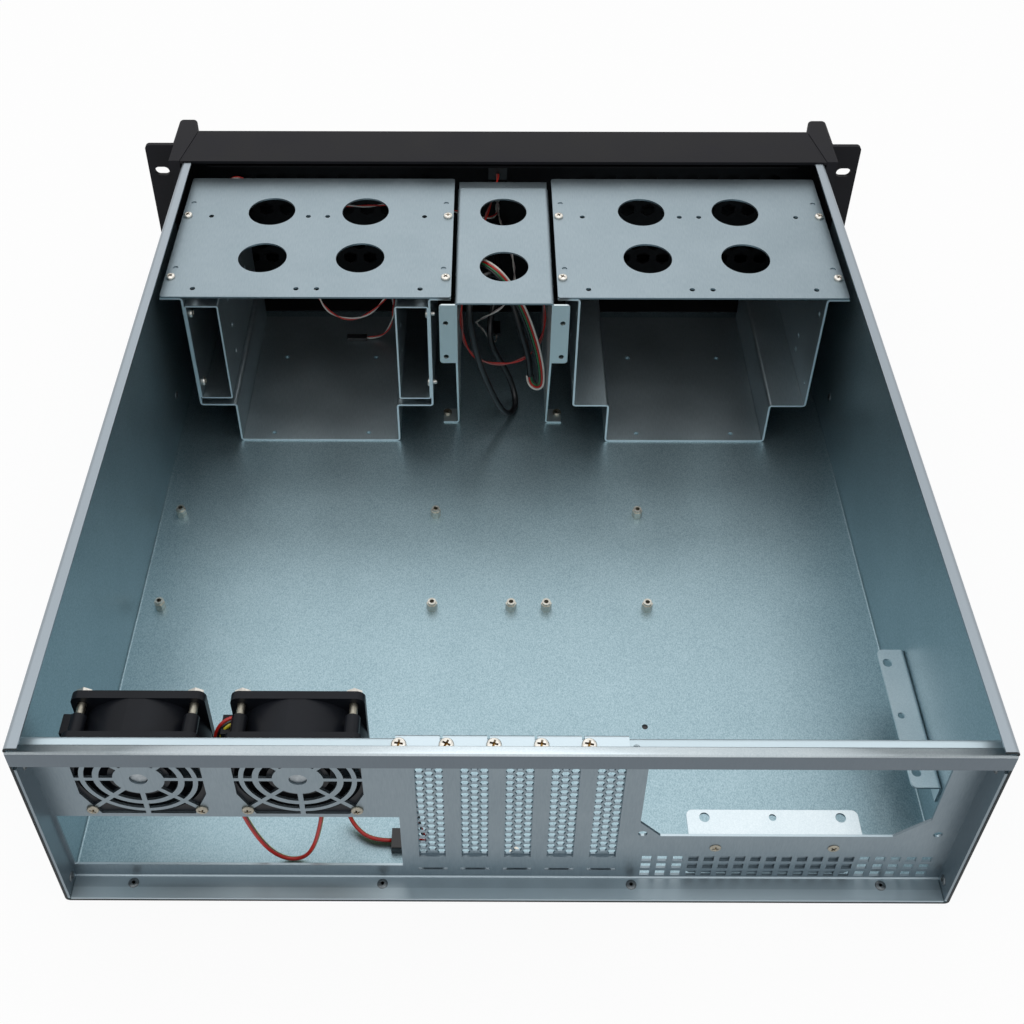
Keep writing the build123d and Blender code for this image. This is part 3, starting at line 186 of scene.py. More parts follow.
def galvanised(name, grain, dark, light, roughness, zones=(), line_width=0.6, line_length=5.0, clouds=0.45):
    """Zinc coated sheet, with its rolling lines along one axis: 0 is X, 1 is Y and 2 is Z.

    A zone is a second colour, its share, and the box in millimetres that it fills.
    """
    made, tree, shader = new_material(name)
    place = add(tree, "ShaderNodeTexCoord").outputs["Object"]
    stretch = [1 / (line_width * mm)] * 3
    stretch[grain] = 1 / (line_length * mm)
    lines = add(tree, "ShaderNodeMapping", {"Vector": place, "Scale": stretch})
    fine = add(tree, "ShaderNodeTexNoise", {"Vector": lines.outputs[0], "Scale": 1.0, "Detail": 2.0})
    patches = add(tree, "ShaderNodeTexNoise", {"Vector": place, "Scale": 1 / (patch_size * mm), "Detail": 3.0})
    both = add(tree, "ShaderNodeMix", {"Factor": clouds, 2: fine.outputs["Fac"], 3: patches.outputs["Fac"]})
    colour = two_colours(tree, both.outputs[0], dark, light, 0.28, 0.72)
    rough = ranged(tree, both.outputs[0], roughness - 0.04, roughness + 0.05, 0.3, 0.7)
    bump = add(tree, "ShaderNodeBump", {"Height": fine.outputs["Fac"], "Strength": 0.05, "Distance": 0.03 * mm})
    spot = add(tree, "ShaderNodeSeparateXYZ", {"Vector": place})
    for other, share, limits in zones:
        for axis, (low, high) in limits.items():
            middle, reach = (low + high) / 2 * mm, (high - low) / 2 * mm
            inside = add(tree, "ShaderNodeMath", {0: spot.outputs[axis], 1: middle, 2: reach}, operation="COMPARE")
            factor = add(tree, "ShaderNodeMath", {0: inside.outputs[0], 1: share}, operation="MULTIPLY")
            share = factor.outputs[0]
        mixed = add(tree, "ShaderNodeMix", {"Factor": share, 6: colour, 7: linear(other)}, data_type="RGBA")
        colour = mixed.outputs[2]
    tree.links.new(colour, shader.inputs["Base Color"])
    tree.links.new(rough, shader.inputs["Roughness"])
    tree.links.new(bump.outputs["Normal"], shader.inputs["Normal"])
    shader.inputs["Metallic"].default_value = 1.0
    return made


# %% Galvanised steel: painted light, and a finish for each kind of sheet
# Places are in millimetres in the part's frame.
far = 600.0
fold_height = 119.8
lip_from_origin = 248.6
lip_heights = (115.0, 126.5)
cut_edge_heights = (12.4, 40.8)
cut_edge_reach = 0.15
panel_middle = 236.65
panel_reach = 0.55
foot_flange_top = 3.0
foot_rim = 243.5
flange_underside = 129.95
cage_end = -66.15
bridge_underside = 119.8
bridge_tabs_from = -175.0
skin = 0.1
below_floor = -1.0


def painted_light_zones(colour):
    """Painted light on the rear panel: painted highlights on the ledge, the foot and the cut edges that face up,
    painted shade on the lip.
    """
    zones = [
        # Painted highlight on the ledge above the fold.
        (colour, 1.0, {"Z": (fold_height, far), "Y": (-far, lip_from_origin)}),
        # Painted shade on the lip under the hem.
        ("#68727A", 1.0, {"Z": lip_heights, "Y": (lip_from_origin, far)}),
        # Painted highlight on the foot, brightest along its rim.
        (colour, 0.5, {"Z": (below_floor, foot_flange_top)}),
        (colour, 0.6, {"Z": (below_floor, foot_flange_top), "Y": (foot_rim, far)}),
    ]
    sheet_inside = (panel_middle - panel_reach, panel_middle + panel_reach)
    # Painted highlights on the cut edges that face up.
    for height in cut_edge_heights:
        zones.append((colour, 1.0, {"Z": (height - cut_edge_reach, height + cut_edge_reach), "Y": sheet_inside}))
    return zones


tray_zones = [
    # Painted light: the tops of the flanges take a greyer, lit tone.
    ("#959EA5", 1.0, {"Z": (flange_underside, far)}),
    ("#23292C", 1.0, {"Y": (rear - skin, far)}),
]
# Painted highlight: the rear ends of the cages are painted near white.
cage_zones = [("#DFE6E9", 1.0, {"Y": (cage_end - skin, far)})]
# Painted light: the bridge's tabs and legs below its top are painted lighter.
bridge_zones = [("#C9D4D6", 1.0, {"Z": (below_floor, bridge_underside), "Y": (bridge_tabs_from, far)})]
# The sheets differ in base colour by part, and this is partly painted shade: the upright rear panel and slot covers,
# the top plates and the bridge are given darker colours than the tray.
tray_steel = galvanised(
    "galvanised steel, tray", 1, "#7A939C", "#A8BEC6", 0.42, tray_zones, line_width=0.5, line_length=0.8, clouds=0.15
)
cage_steel = galvanised("galvanised steel, cages", 1, "#A0AFB5", "#B8C6CC", 0.40, cage_zones)
plate_steel = galvanised("galvanised steel, top plates", 1, "#808E95", "#929FA6", 0.42)
bridge_steel = galvanised("galvanised steel, bridge", 1, "#808E95", "#929FA6", 0.42, bridge_zones)
# The rear panel and the slot covers carry the painted highlights and the painted shade of the zones above.
panel_steel = galvanised("galvanised steel, rear panel", 2, "#77848C", "#89959C", 0.44, painted_light_zones("#B3C2C9"))
cover_steel = galvanised("galvanised steel, slot covers", 2, "#77868F", "#8B9AA2", 0.40, painted_light_zones("#BAC8CF"))
bracket_steel = galvanised("bright zinc steel, brackets and hem", 2, "#B6C3C9", "#D0D9DD", 0.32)

# %% [markdown]
# ## Black finishes
#
# The front plate and the bezel are steel with black powder coat: a matt film with a slight orange peel, about
# 0.8 mm from bump to bump. The handles are castings under the same paint, which fills the pits of the casting,
# so their bumps are larger. The fans are moulded in black plastic with a satin face. The cable jackets are
# softer and a little shinier.

# %% Black materials
wear_size = 30.0


def coated(name, dark, light, roughness, grain_size, bump_height, specular=0.5):
    """A painted or moulded black surface with fine bumps of one size, in millimetres."""
    made, tree, shader = new_material(name)
    place = add(tree, "ShaderNodeTexCoord").outputs["Object"]
    bumps = add(tree, "ShaderNodeTexNoise", {"Vector": place, "Scale": 1 / (grain_size * mm), "Detail": 2.0})
    wear = add(tree, "ShaderNodeTexNoise", {"Vector": place, "Scale": 1 / (wear_size * mm), "Detail": 4.0})
    colour = two_colours(tree, wear.outputs["Fac"], dark, light, 0.3, 0.72)
    rough = ranged(tree, wear.outputs["Fac"], roughness - 0.04, roughness + 0.05, 0.3, 0.7)
    depth = bump_height * mm
    bump = add(tree, "ShaderNodeBump", {"Height": bumps.outputs["Fac"], "Strength": 0.5, "Distance": depth})
    tree.links.new(colour, shader.inputs["Base Color"])
    tree.links.new(rough, shader.inputs["Roughness"])
    tree.links.new(bump.outputs["Normal"], shader.inputs["Normal"])
    shader.inputs["Specular IOR Level"].default_value = specular
    return made


front_paint = coated("black powder coat on sheet", "#0E0E10", "#151517", 0.5, 0.8, 0.03, 0.12)
bezel_paint = coated("black powder coat on the bezel", "#111114", "#1A1A1F", 0.52, 0.8, 0.03, 0.12)
casting_paint = coated("black paint on castings", "#131316", "#1D1D22", 0.52, 1.2, 0.06, 0.12)
cover_plastic = coated("black moulded plastic, covers", "#101012", "#17171A", 0.45, 0.6, 0.02, 0.2)
fan_plastic = coated("black moulded plastic, fans", "#101217", "#191C22", 0.38, 0.7, 0.02, 0.15)
socket_plastic = coated("black moulded plastic, sockets", "#101012", "#18181A", 0.4, 0.6, 0.02)

# %% [markdown]
# ## Wire insulation
#
# The leads are plastic covered wires. The insulation is soft vinyl, smooth and slightly glossy, and its colour
# is nearly even. A faint change along the wire keeps it from looking painted.

# %% Wire materials
def insulation(name, dark, light, roughness=0.35):
    """Soft vinyl over a wire."""
    return coated(name, dark, light, roughness, 1.5, 0.01)


black_jacket = insulation("black vinyl jacket", "#0E0E10", "#17171A", 0.3)
red_vinyl = insulation("red vinyl", "#A81A14", "#CC3024")
dusty_vinyl = insulation("dusty red vinyl", "#8A4A48", "#A8605C")
yellow_vinyl = insulation("yellow vinyl", "#B5A81E", "#D2C530")
white_vinyl = insulation("white vinyl", "#C9C6BE", "#E2DFD8")
green_vinyl = insulation("green vinyl", "#1F5B3A", "#2D7A4E")
black_vinyl = insulation("black vinyl", "#141416", "#1F1F22")
grey_vinyl = insulation("pinkish grey vinyl", "#8D7F80", "#A89A9A")

# %% [markdown]
# ## The leads
#
# Each lead hangs under its own weight between two ends. Its line is one smooth spline whose control points are
# the bends that were read off the photograph: straight out of the socket, down, and round. A lead with several
# wires is a mesh: every wire follows the same smooth line, a little to its side. In a flat ribbon the wires
# stay in one row. In a twisted pair they turn slowly round each other.

# %% Leads: the spline and the wires that follow it
def spline(name, points, thickness):
    """A lead's smooth line, as a round curve object."""
    curve = bpy.data.curves.new(name, "CURVE")
    curve.dimensions = "3D"
    line = curve.splines.new("NURBS")
    line.points.add(len(points) - 1)
    for spot, point in zip(line.points, points):
        spot.co = (*point, 1.0)
    line.order_u = 3
    line.use_endpoint_u = True
    line.resolution_u = 8
    curve.bevel_depth = thickness * mm / 2
    curve.bevel_resolution = 4
    curve.use_fill_caps = True
    made = bpy.data.objects.new(name, curve)
    bpy.context.scene.collection.objects.link(made)
    return made


def evaluated_mesh(piece):
    """The plain mesh of an object after its modifiers."""
    bpy.context.view_layer.update()
    return bpy.data.meshes.new_from_object(piece.evaluated_get(bpy.context.evaluated_depsgraph_get()))


def line_points(name, points):
    """The points along a lead's smooth line."""
    bare = spline(name + "_line", points, 0.0)
    bare.data.use_fill_caps = False
    mesh = evaluated_mesh(bare)
    found = [v.co.copy() for v in mesh.vertices]
    bpy.data.objects.remove(bare)
    bpy.data.meshes.remove(mesh)
    return found


def sides_along(path, face):
    """A sideways direction at each point of a path: square to the ribbon's face, or carried along without one."""
    sides = []
    side = Vector((1, 0, 0))
    for number, point in enumerate(path):
        ahead = path[min(number + 1, len(path) - 1)] - path[max(number - 1, 0)]
        ahead.normalize()
        side = ahead.cross(Vector(face)) if face else side - ahead * side.dot(ahead)
        side.normalize()
        sides.append((side.copy(), ahead))
    return sides


def turn_at(turns, run):
    """The turn at a run along the wires, in radians, between pairs of (millimetres, degrees)."""
    for (start, low), (end, high) in zip(turns, turns[1:]):
        if run < end:
            return math.radians(low + (high - low) * max(run - start, 0) / (end - start))
    return math.radians(turns[-1][1])


def twisted(pitch):
    """A steady twist: one turn for each pitch, in millimetres."""
    return ((0, 0), (1000, 360 * 1000 / pitch))


def wires(name, points, radius, colours, offsets, turns, face=None, round_sides=8):
    """Several wires along one line: offsets are in millimetres, turns are pairs of (millimetres, degrees)."""
    path = line_points(name, points)
    sides = sides_along(path, face)
    spots, faces, marks = [], [], []
    for colour, offset in enumerate(offsets):
        start = len(spots)
        run = 0.0
        for number, (point, (side, ahead)) in enumerate(zip(path, sides)):
            run += (point - path[number - 1]).length / mm if number else 0.0
            turned = Quaternion(ahead, turn_at(turns, run)) @ side
            middle = point + turned * offset * mm
            across = ahead.cross(turned)
            for step in range(round_sides):
                angle = 2 * math.pi * step / round_sides
                spots.append(middle + (turned * math.cos(angle) + across * math.sin(angle)) * radius * mm)
        count = len(path)
        for ring in range(count - 1):
            for step in range(round_sides):
                one = start + ring * round_sides + step
                two = start + ring * round_sides + (step + 1) % round_sides
                faces.append((one, two, two + round_sides, one + round_sides))
                marks.append(colour)
        faces.append(tuple(start + step for step in reversed(range(round_sides))))
        last = start + (count - 1) * round_sides
        faces.append(tuple(last + step for step in range(round_sides)))
        marks += [colour, colour]
    made = mesh_object(name, spots, faces, smooth=True)
    for colour in colours:
        made.data.materials.append(colour)
    made.data.polygons.foreach_set("material_index", marks)
    return made, path


# %% Leads: the routes, in metres
usb_lead_points = [
    (0.0034, -0.20305, 0.062), (0.0034, -0.18175, 0.062), (0.0028, -0.15775, 0.0627), (0.004, -0.13475, 0.0667),
    (0.0084, -0.11625, 0.0642), (0.0086, -0.10925, 0.0502), (0.0026, -0.10995, 0.0347), (-0.0034, -0.11015, 0.0217),
    (-0.0076, -0.10775, 0.0098), (-0.0094, -0.10035, 0.0036), (-0.007, -0.09075, 0.0036), (-0.0014, -0.08335, 0.0097),
    (0.0042, -0.08125, 0.0227), (0.0102, -0.08075, 0.0397), (0.015, -0.07875, 0.0572), (0.0188, -0.07725, 0.0772),
    (0.0216, -0.07825, 0.0962), (0.0208, -0.08375, 0.1102), (0.0138, -0.09525, 0.1148), (0.0046, -0.10575, 0.1092),
    (-0.0026, -0.10675, 0.0977), (-0.0068, -0.10175, 0.0847), (-0.0106, -0.09725, 0.0717), (-0.0146, -0.09575, 0.0577),
    (-0.0172, -0.09555, 0.0447), (-0.018, -0.09535, 0.0327),
]
usb_wires_points = [
    (-0.018, -0.09535, 0.0327), (-0.0182, -0.095, 0.029), (-0.0196, -0.0936, 0.0266), (-0.0222, -0.0916, 0.0262),
    (-0.0244, -0.0902, 0.0284), (-0.025, -0.0894, 0.0335), (-0.0244, -0.0892, 0.0435), (-0.0222, -0.0899, 0.0565),
    (-0.0188, -0.0912, 0.07), (-0.0146, -0.0927, 0.083), (-0.0095, -0.0949, 0.095), (-0.0036, -0.0975, 0.1053),
    (0.003, -0.10025, 0.1132), (0.01, -0.10525, 0.116), (0.0165, -0.11125, 0.1146), (0.0206, -0.11825, 0.1138),
    (0.0206, -0.12675, 0.1138),
]
switch_lead_points = [
    (0.0034, -0.20405, 0.1175), (0.0034, -0.19725, 0.1175), (0.0055, -0.18775, 0.1132), (0.011, -0.17275, 0.1052),
    (0.0175, -0.15475, 0.0977), (0.0225, -0.13375, 0.0932), (0.0256, -0.11575, 0.0897), (0.0268, -0.10425, 0.0822),
    (0.0268, -0.10095, 0.0712), (0.0252, -0.10075, 0.0562), (0.0195, -0.10075, 0.0447), (0.01, -0.10075, 0.0384),
    (-0.003, -0.10075, 0.0376), (-0.0135, -0.10125, 0.0418), (-0.0215, -0.10175, 0.05), (-0.0259, -0.10225, 0.0612),
    (-0.0266, -0.10275, 0.0747), (-0.0258, -0.10425, 0.0877), (-0.025, -0.11125, 0.0987), (-0.0252, -0.12375, 0.1037),
    (-0.0254, -0.13775, 0.1022),
]
indicator_lead_points = [
    (0.0034, -0.20965, 0.092), (0.0034, -0.19675, 0.092), (0.0005, -0.17675, 0.0942), (-0.0045, -0.15275, 0.0954),
    (-0.0075, -0.13075, 0.0946), (-0.007, -0.11325, 0.0907), (-0.0015, -0.10355, 0.0854), (0.0065, -0.10225, 0.0798),
    (0.0135, -0.10675, 0.0717), (0.0175, -0.11675, 0.0607), (0.0175, -0.12975, 0.0487), (0.0145, -0.14225, 0.0347),
    (0.0105, -0.15075, 0.0207), (0.0065, -0.15725, 0.0092), (0.0034, -0.16475, 0.0027), (0.0034, -0.17225, 0.0027),
]
bay_lead_points = [
    (0.0034, -0.20965, 0.085), (0.0034, -0.20275, 0.085), (0.009, -0.19735, 0.0857), (0.0195, -0.19715, 0.0877),
    (0.037, -0.19895, 0.0922), (0.064, -0.20055, 0.0972), (0.097, -0.20175, 0.0915), (0.126, -0.20195, 0.0955),
    (0.148, -0.20135, 0.0997), (0.1615, -0.20035, 0.1047), (0.17, -0.19935, 0.1132), (0.1786, -0.19895, 0.1188),
    (0.1865, -0.19955, 0.1137), (0.19, -0.20075, 0.1012), (0.187, -0.20175, 0.0852), (0.172, -0.20125, 0.0747),
    (0.15, -0.19525, 0.0657), (0.1355, -0.17675, 0.0652), (0.1305, -0.15225, 0.0657), (0.123, -0.13725, 0.0672),
    (0.1175, -0.13155, 0.0587), (0.1085, -0.13095, 0.0517), (0.0975, -0.13095, 0.0506), (0.0865, -0.13225, 0.0557),
    (0.0785, -0.13775, 0.0622), (0.075, -0.14725, 0.0602), (0.0744, -0.15625, 0.0497), (0.0748, -0.16225, 0.0372),
    (0.076, -0.16525, 0.0242), (0.0795, -0.16675, 0.0122), (0.0865, -0.16725, 0.004), (0.0955, -0.16725, 0.004),
]
fan_lead_points = [
    (0.1212, 0.2221, 0.1109), (0.1213, 0.2222, 0.1119), (0.1245, 0.2238, 0.1126), (0.1283, 0.2256, 0.1088),
    (0.1297, 0.2263, 0.101), (0.1294, 0.2257, 0.09), (0.128, 0.22485, 0.0782), (0.1282, 0.22665, 0.0612),
    (0.1244, 0.22895, 0.0422), (0.1198, 0.22925, 0.0232), (0.1142, 0.22925, 0.0094), (0.1065, 0.22925, 0.0027),
    (0.0984, 0.22925, 0.0056), (0.0932, 0.22925, 0.0172), (0.0894, 0.22905, 0.0337), (0.087, 0.22665, 0.0482),
    (0.0848, 0.21875, 0.0552), (0.0834, 0.20775, 0.0522), (0.0828, 0.20275, 0.0402), (0.082, 0.20245, 0.0257),
    (0.0804, 0.20575, 0.0127), (0.0763, 0.21205, 0.0048), (0.067, 0.21925, 0.0037), (0.057, 0.21925, 0.0037),
]
fan_feed_points = [
    (0.0486, 0.21925, 0.0037), (0.0425, 0.21925, 0.0037), (0.0388, 0.22305, 0.0097), (0.0395, 0.22785, 0.0202),
    (0.0415, 0.22935, 0.0342), (0.0428, 0.22885, 0.0472), (0.0434, 0.22765, 0.0592), (0.0436, 0.22565, 0.0664),
    (0.048, 0.22455, 0.071), (0.0561, 0.22455, 0.071),
]
print("bends:", len(usb_lead_points), "in the jacket's line and", len(bay_lead_points), "in the longest pair")

# %% [markdown]
# ### The leads on the case
#
# Each lead replaces its plain solid, rides on the case, and prints its real length and thickness.

# %% Leads: pieces and facts
def lead(piece, node, length, thickness):
    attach(piece, "case")
    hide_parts(node)
    print(f"{piece.name}: {length:.0f} mm long, {thickness:.1f} mm across")
    return piece


usb_cable = spline("usb_cable", usb_lead_points, 4.0)
usb_cable.data.materials.append(black_jacket)
lead(usb_cable, "usb_lead", 388.9, 4.0)

ribbon, path = wires(
    "usb_ribbon", usb_wires_points, 0.7, (black_vinyl, green_vinyl, red_vinyl, white_vinyl),
    (-2.0, -0.67, 0.67, 2.0), ((0, 0), (1, 0)), face=(0, 0.6, 0.8),
)
lead(ribbon, "usb_wires", 152.6, 5.4)

pair, path = wires("switch_pair", switch_lead_points, 0.55, (red_vinyl, dusty_vinyl), (-0.55, 0.55), twisted(34))
lead(pair, "switch_lead", 273.3, 2.2)

thin, path = wires("indicator_pair", indicator_lead_points, 0.4, (grey_vinyl, white_vinyl), (-0.4, 0.4), twisted(26))
lead(thin, "power_indicator_lead", 230.5, 1.6)

bay_pair, path = wires("bay_pair", bay_lead_points, 0.5, (red_vinyl, white_vinyl), (-0.5, 0.5), twisted(30))
lead(bay_pair, "disk_indicator_lead", 471.0, 2.0)

fan_wires, path = wires(
    "fan_wires", fan_lead_points, 0.9, (red_vinyl, black_vinyl, yellow_vinyl),
    (1.3, 0.0, -1.3), ((0, 0), (12, 0), (26, -90)), face=(0, 0.55, 0.83),
)
lead(fan_wires, "fan_lead", 251.4, 4.4)

feed_pair, path = wires("feed_pair", fan_feed_points, 0.5, (red_vinyl, black_vinyl), (-0.5, 0.5), twisted(30))
lead(feed_pair, "fan_feed_lead", 85.4, 2.0)

# %% [markdown]
# ## Floor, background and light
#
# The photograph is cut out on pure white, with only a trace of shadow. The floor is a pale matt sheet. Where the
# camera or a reflection looks at it, most of its brightness is plain white, and the rest still takes the shadow
# of the case. The light is soft: a large lamp overhead, a second one over the front, and an even surround.

# %% Stage and light
def seen_straight(tree):
    """1 where the camera, a reflection or a clear part looks, and 0 for the light that falls on other things."""
    rays = add(tree, "ShaderNodeLightPath").outputs
    seen = rays["Is Camera Ray"]
    for other in ("Is Glossy Ray", "Is Transmission Ray"):
        seen = add(tree, "ShaderNodeMath", {0: seen, 1: rays[other]}, operation="MAXIMUM").outputs[0]
    return seen


floor_reach = 4
plain_white_share = 0.92
paper_colour = (0.95, 0.95, 0.95, 1.0)
pure_white = (1.0, 1.0, 1.0, 1.0)
surround_level = 0.55

corners = [(x * floor_reach, y * floor_reach, 0) for x, y in ((-1, -1), (1, -1), (1, 1), (-1, 1))]
floor = mesh_object("floor", corners, [(0, 1, 2, 3)])
paper = bpy.data.materials.new("pale matt paper")
paper.use_nodes = True
tree = paper.node_tree
tree.nodes.clear()
share = add(tree, "ShaderNodeMath", {0: seen_straight(tree), 1: plain_white_share}, operation="MULTIPLY")
matt = add(tree, "ShaderNodeBsdfDiffuse", {"Color": paper_colour})
white = add(tree, "ShaderNodeEmission", {"Color": pure_white, "Strength": 1.0})
mixed = add(tree, "ShaderNodeMixShader", {0: share.outputs[0], 1: matt.outputs[0], 2: white.outputs[0]})
add(tree, "ShaderNodeOutputMaterial", {"Surface": mixed.outputs[0]})
floor.data.materials.append(paper)

world = bpy.data.worlds.new("studio")
bpy.context.scene.world = world
world.use_nodes = True
tree = world.node_tree
tree.nodes.clear()
level = ranged(tree, seen_straight(tree), surround_level, 1.0)
sky = add(tree, "ShaderNodeBackground", {"Color": pure_white, "Strength": level})
add(tree, "ShaderNodeOutputWorld", {"Surface": sky.outputs[0]})


def soft_lamp(name, place, aim, size, watts):
    """A square area lamp that points at a place."""
    data = bpy.data.lights.new(name, "AREA")
    data.size = size
    data.energy = watts
    made = bpy.data.objects.new(name, data)
    made.location = place
    made.rotation_euler = (Vector(aim) - Vector(place)).to_track_quat("-Z", "Y").to_euler()
    bpy.context.scene.collection.objects.link(made)
    print(f"{name}: {size} m wide, {watts} W")


soft_lamp("overhead lamp", (0.0, 0.2, 2.0), (0.0, 0.0, 0.0), 2.6, 17.0)
soft_lamp("front lamp", (0.1, -2.0, 1.6), (0.0, 0.0, 0.1), 1.6, 5.0)
bpy.context.scene.view_settings.view_transform = "Standard"

# %% [markdown]
# ## Finishes of the parts that keep their solid shape
#
# Most parts are right as they are and only need their finish.

# %% Finishes
def finish_of(material, *names):
    """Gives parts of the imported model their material."""
    for name in names:
        part = nodes[name]
        part.data.materials.clear()
        part.data.materials.append(material)
    print(f"{material.name}: on {len(names)} parts")


finish_of(tray_steel, "base_tray")
finish_of(panel_steel, "rear_panel")
finish_of(cage_steel, "drive_cage_left", "drive_cage_right", "bay_adapter_outer", "bay_adapter_inner")
finish_of(plate_steel, "cage_top_plate_left", "cage_top_plate_right")
finish_of(bridge_steel, "centre_bridge")
finish_of(cover_steel, *(f"slot_cover_{number}" for number in range(1, 6)))
finish_of(bracket_steel, "psu_bracket_rear", "psu_bracket_side")
finish_of(fan_plastic, "fan_frame_left", "fan_frame_right", "fan_rotor_left", "fan_rotor_right")
finish_of(casting_paint, "rack_handle_left", "rack_handle_right")
finish_of(front_paint, "front_plate")
finish_of(bezel_paint, "front_bezel")
finish_of(cover_plastic, "wide_bay_cover_lower_left", "wide_bay_cover_lower_right", "wide_bay_cover_upper_left")
finish_of(cover_plastic, "wide_bay_cover_upper_right", "narrow_bay_cover_left", "narrow_bay_cover_right")
finish_of(socket_plastic, "power_switch", "reset_switch", "power_button", "reset_button")
finish_of(socket_plastic, "header_plugs", "usb_header_plug", "fan_connectors", "usb_socket")

# %% [markdown]
# ## Bright plated hardware
#
# Screws and rivets are small, so they need a clean metal: bright zinc or nickel with a little yellow in a screw's
# recess, where the passivating bath stays longest. The hole of a rivet is painted near black, as painted shade.

# %% Plated metal
def plated(name, dark, light, recess, roughness):
    """Plated metal whose recesses take a second colour, from the attribute of the same name.

    A warmer tint on screws, painted shade in a rivet's hole.
    """
    made, tree, shader = new_material(name)
    place = add(tree, "ShaderNodeTexCoord").outputs["Object"]
    stain = add(tree, "ShaderNodeTexNoise", {"Vector": place, "Scale": 1 / (1.5 * mm), "Detail": 3.0})
    plain = two_colours(tree, stain.outputs["Fac"], dark, light, 0.3, 0.7)
    inside = add(tree, "ShaderNodeAttribute", attribute_name="recess").outputs["Fac"]
    mixed = add(tree, "ShaderNodeMix", {"Factor": inside, 6: plain, 7: linear(recess)}, data_type="RGBA")
    tree.links.new(mixed.outputs[2], shader.inputs["Base Color"])
    rough = ranged(tree, stain.outputs["Fac"], roughness - 0.06, roughness + 0.08)
    tree.links.new(rough, shader.inputs["Roughness"])
    shader.inputs["Metallic"].default_value = 1.0
    return made


nickel = plated("nickel plated steel, screws", "#C6C3BB", "#E2DFD8", "#8A6C38", 0.3)
aged_zinc = plated("yellow passivated zinc steel, screws", "#8B877C", "#A6A295", "#6A5228", 0.36)
# The rivets' recess colour is near black: painted shade in the mandrel hole.
rivet_metal = plated("plain steel, rivets", "#555A5D", "#7A8083", "#141516", 0.42)
post_metal = plated("nickel plated steel, standoffs", "#A6A49B", "#C9C7BF", "#5A5850", 0.3)
milky = coated("milky clear plastic", "#B9BDB8", "#D5D8D3", 0.25, 1.0, 0.01)
finish_of(post_metal, "board_standoffs")
finish_of(nickel, "fan_nuts")
finish_of(milky, "power_indicator", "disk_indicator")

# %% [markdown]
# ## Screws, bolts and rivets
#
# Every screw here has a pan head with a cross recess. For each kind, one screw is turned from a profile and its
# recess is cut once. Geometry Nodes then put a copy at each place: the places are the vertices of a small mesh,
# an attribute says which way each one faces, and a seeded random turn keeps the crosses from lining up, because
# nobody stops a screwdriver at the same angle twice. The tree ends with Realize Instances and Set Material.

# %% One turned shape
def turned(name, profile, segments=24):
    """A closed shape turned round Z from a profile of (radius, height), in millimetres, bottom to top."""
    spots, rings = [], []
    for radius, height in profile:
        if radius == 0:
            rings.append([len(spots)])
            spots.append((0.0, 0.0, height * mm))
            continue
        rings.append(list(range(len(spots), len(spots) + segments)))
        for step in range(segments):
            angle = 2 * math.pi * step / segments
            spots.append((radius * math.cos(angle) * mm, radius * math.sin(angle) * mm, height * mm))
    faces = []
    for low, high in zip(rings, rings[1:]):
        for step in range(segments):
            ahead = (step + 1) % segments
            if len(low) == 1:
                faces.append((low[0], high[ahead], high[step]))
            elif len(high) == 1:
                faces.append((low[step], low[ahead], high[0]))
            else:
                faces.append((low[step], low[ahead], high[ahead], high[step]))
    return mesh_object(name, spots, faces)


def cross_cutter(name, radius, height):
    """The tapered cross of a screwdriver's tip, standing in a head of that radius and height."""
    spots, faces = [], []
    long_top, long_low = 0.62 * radius, 0.3 * radius
    thin_top, thin_low = 0.155 * radius, 0.11 * radius
    top, low = height + 0.3, height - 0.52 * radius
    for flip in (False, True):
        start = len(spots)
        for length, width, level in ((long_low, thin_low, low), (long_top, thin_top, top)):
            for x, y in ((-length, -width), (length, -width), (length, width), (-length, width)):
                spot = (-y, x) if flip else (x, y)
                spots.append((spot[0] * mm, spot[1] * mm, level * mm))
        for face in ((3, 2, 1, 0), (4, 5, 6, 7), (0, 1, 5, 4), (1, 2, 6, 5), (2, 3, 7, 6), (3, 0, 4, 7)):
            faces.append(tuple(start + corner for corner in face))
    return mesh_object(name, spots, faces)


def cross_screw(name, head_radius, head_height, shank, shank_radius):
    """A pan head screw with its recess cut, whose head stands on Z 0."""
    r, h = head_radius, head_height
    profile = [(0, -shank), (shank_radius - 0.3, -shank), (shank_radius, -shank + 0.4), (shank_radius, 0)]
    profile += [(r * 0.97, 0), (r, 0.12 * h), (r, 0.4 * h), (r * 0.95, 0.66 * h), (r * 0.84, 0.86 * h)]
    profile += [(r * 0.62, 0.97 * h), (0, h)]
    screw = turned(name, profile)
    cutter = cross_cutter(name + "_cross", r, h)
    cut = screw.modifiers.new("recess", "BOOLEAN")
    cut.operation = "DIFFERENCE"
    cut.solver = "EXACT"
    cut.use_self = True
    cut.object = cutter
    plain = evaluated_mesh(screw)
    screw.modifiers.clear()
    screw.data = plain
    marks = plain.attributes.new("recess", "FLOAT", "POINT")
    for vertex in plain.vertices:
        away = math.hypot(vertex.co.x, vertex.co.y) / mm
        inside = away < 0.63 * r and h - 0.53 * r < vertex.co.z / mm < 0.9 * h
        marks.data[vertex.index].value = 1.0 if inside else 0.0
    bpy.data.objects.remove(cutter)
    return screw


# %% The tree that puts a copy at each place
def socket(tree, name, kind):
    """Adds a named input to a tree and returns its identifier."""
    return tree.interface.new_socket(name, in_out="INPUT", socket_type=kind).identifier


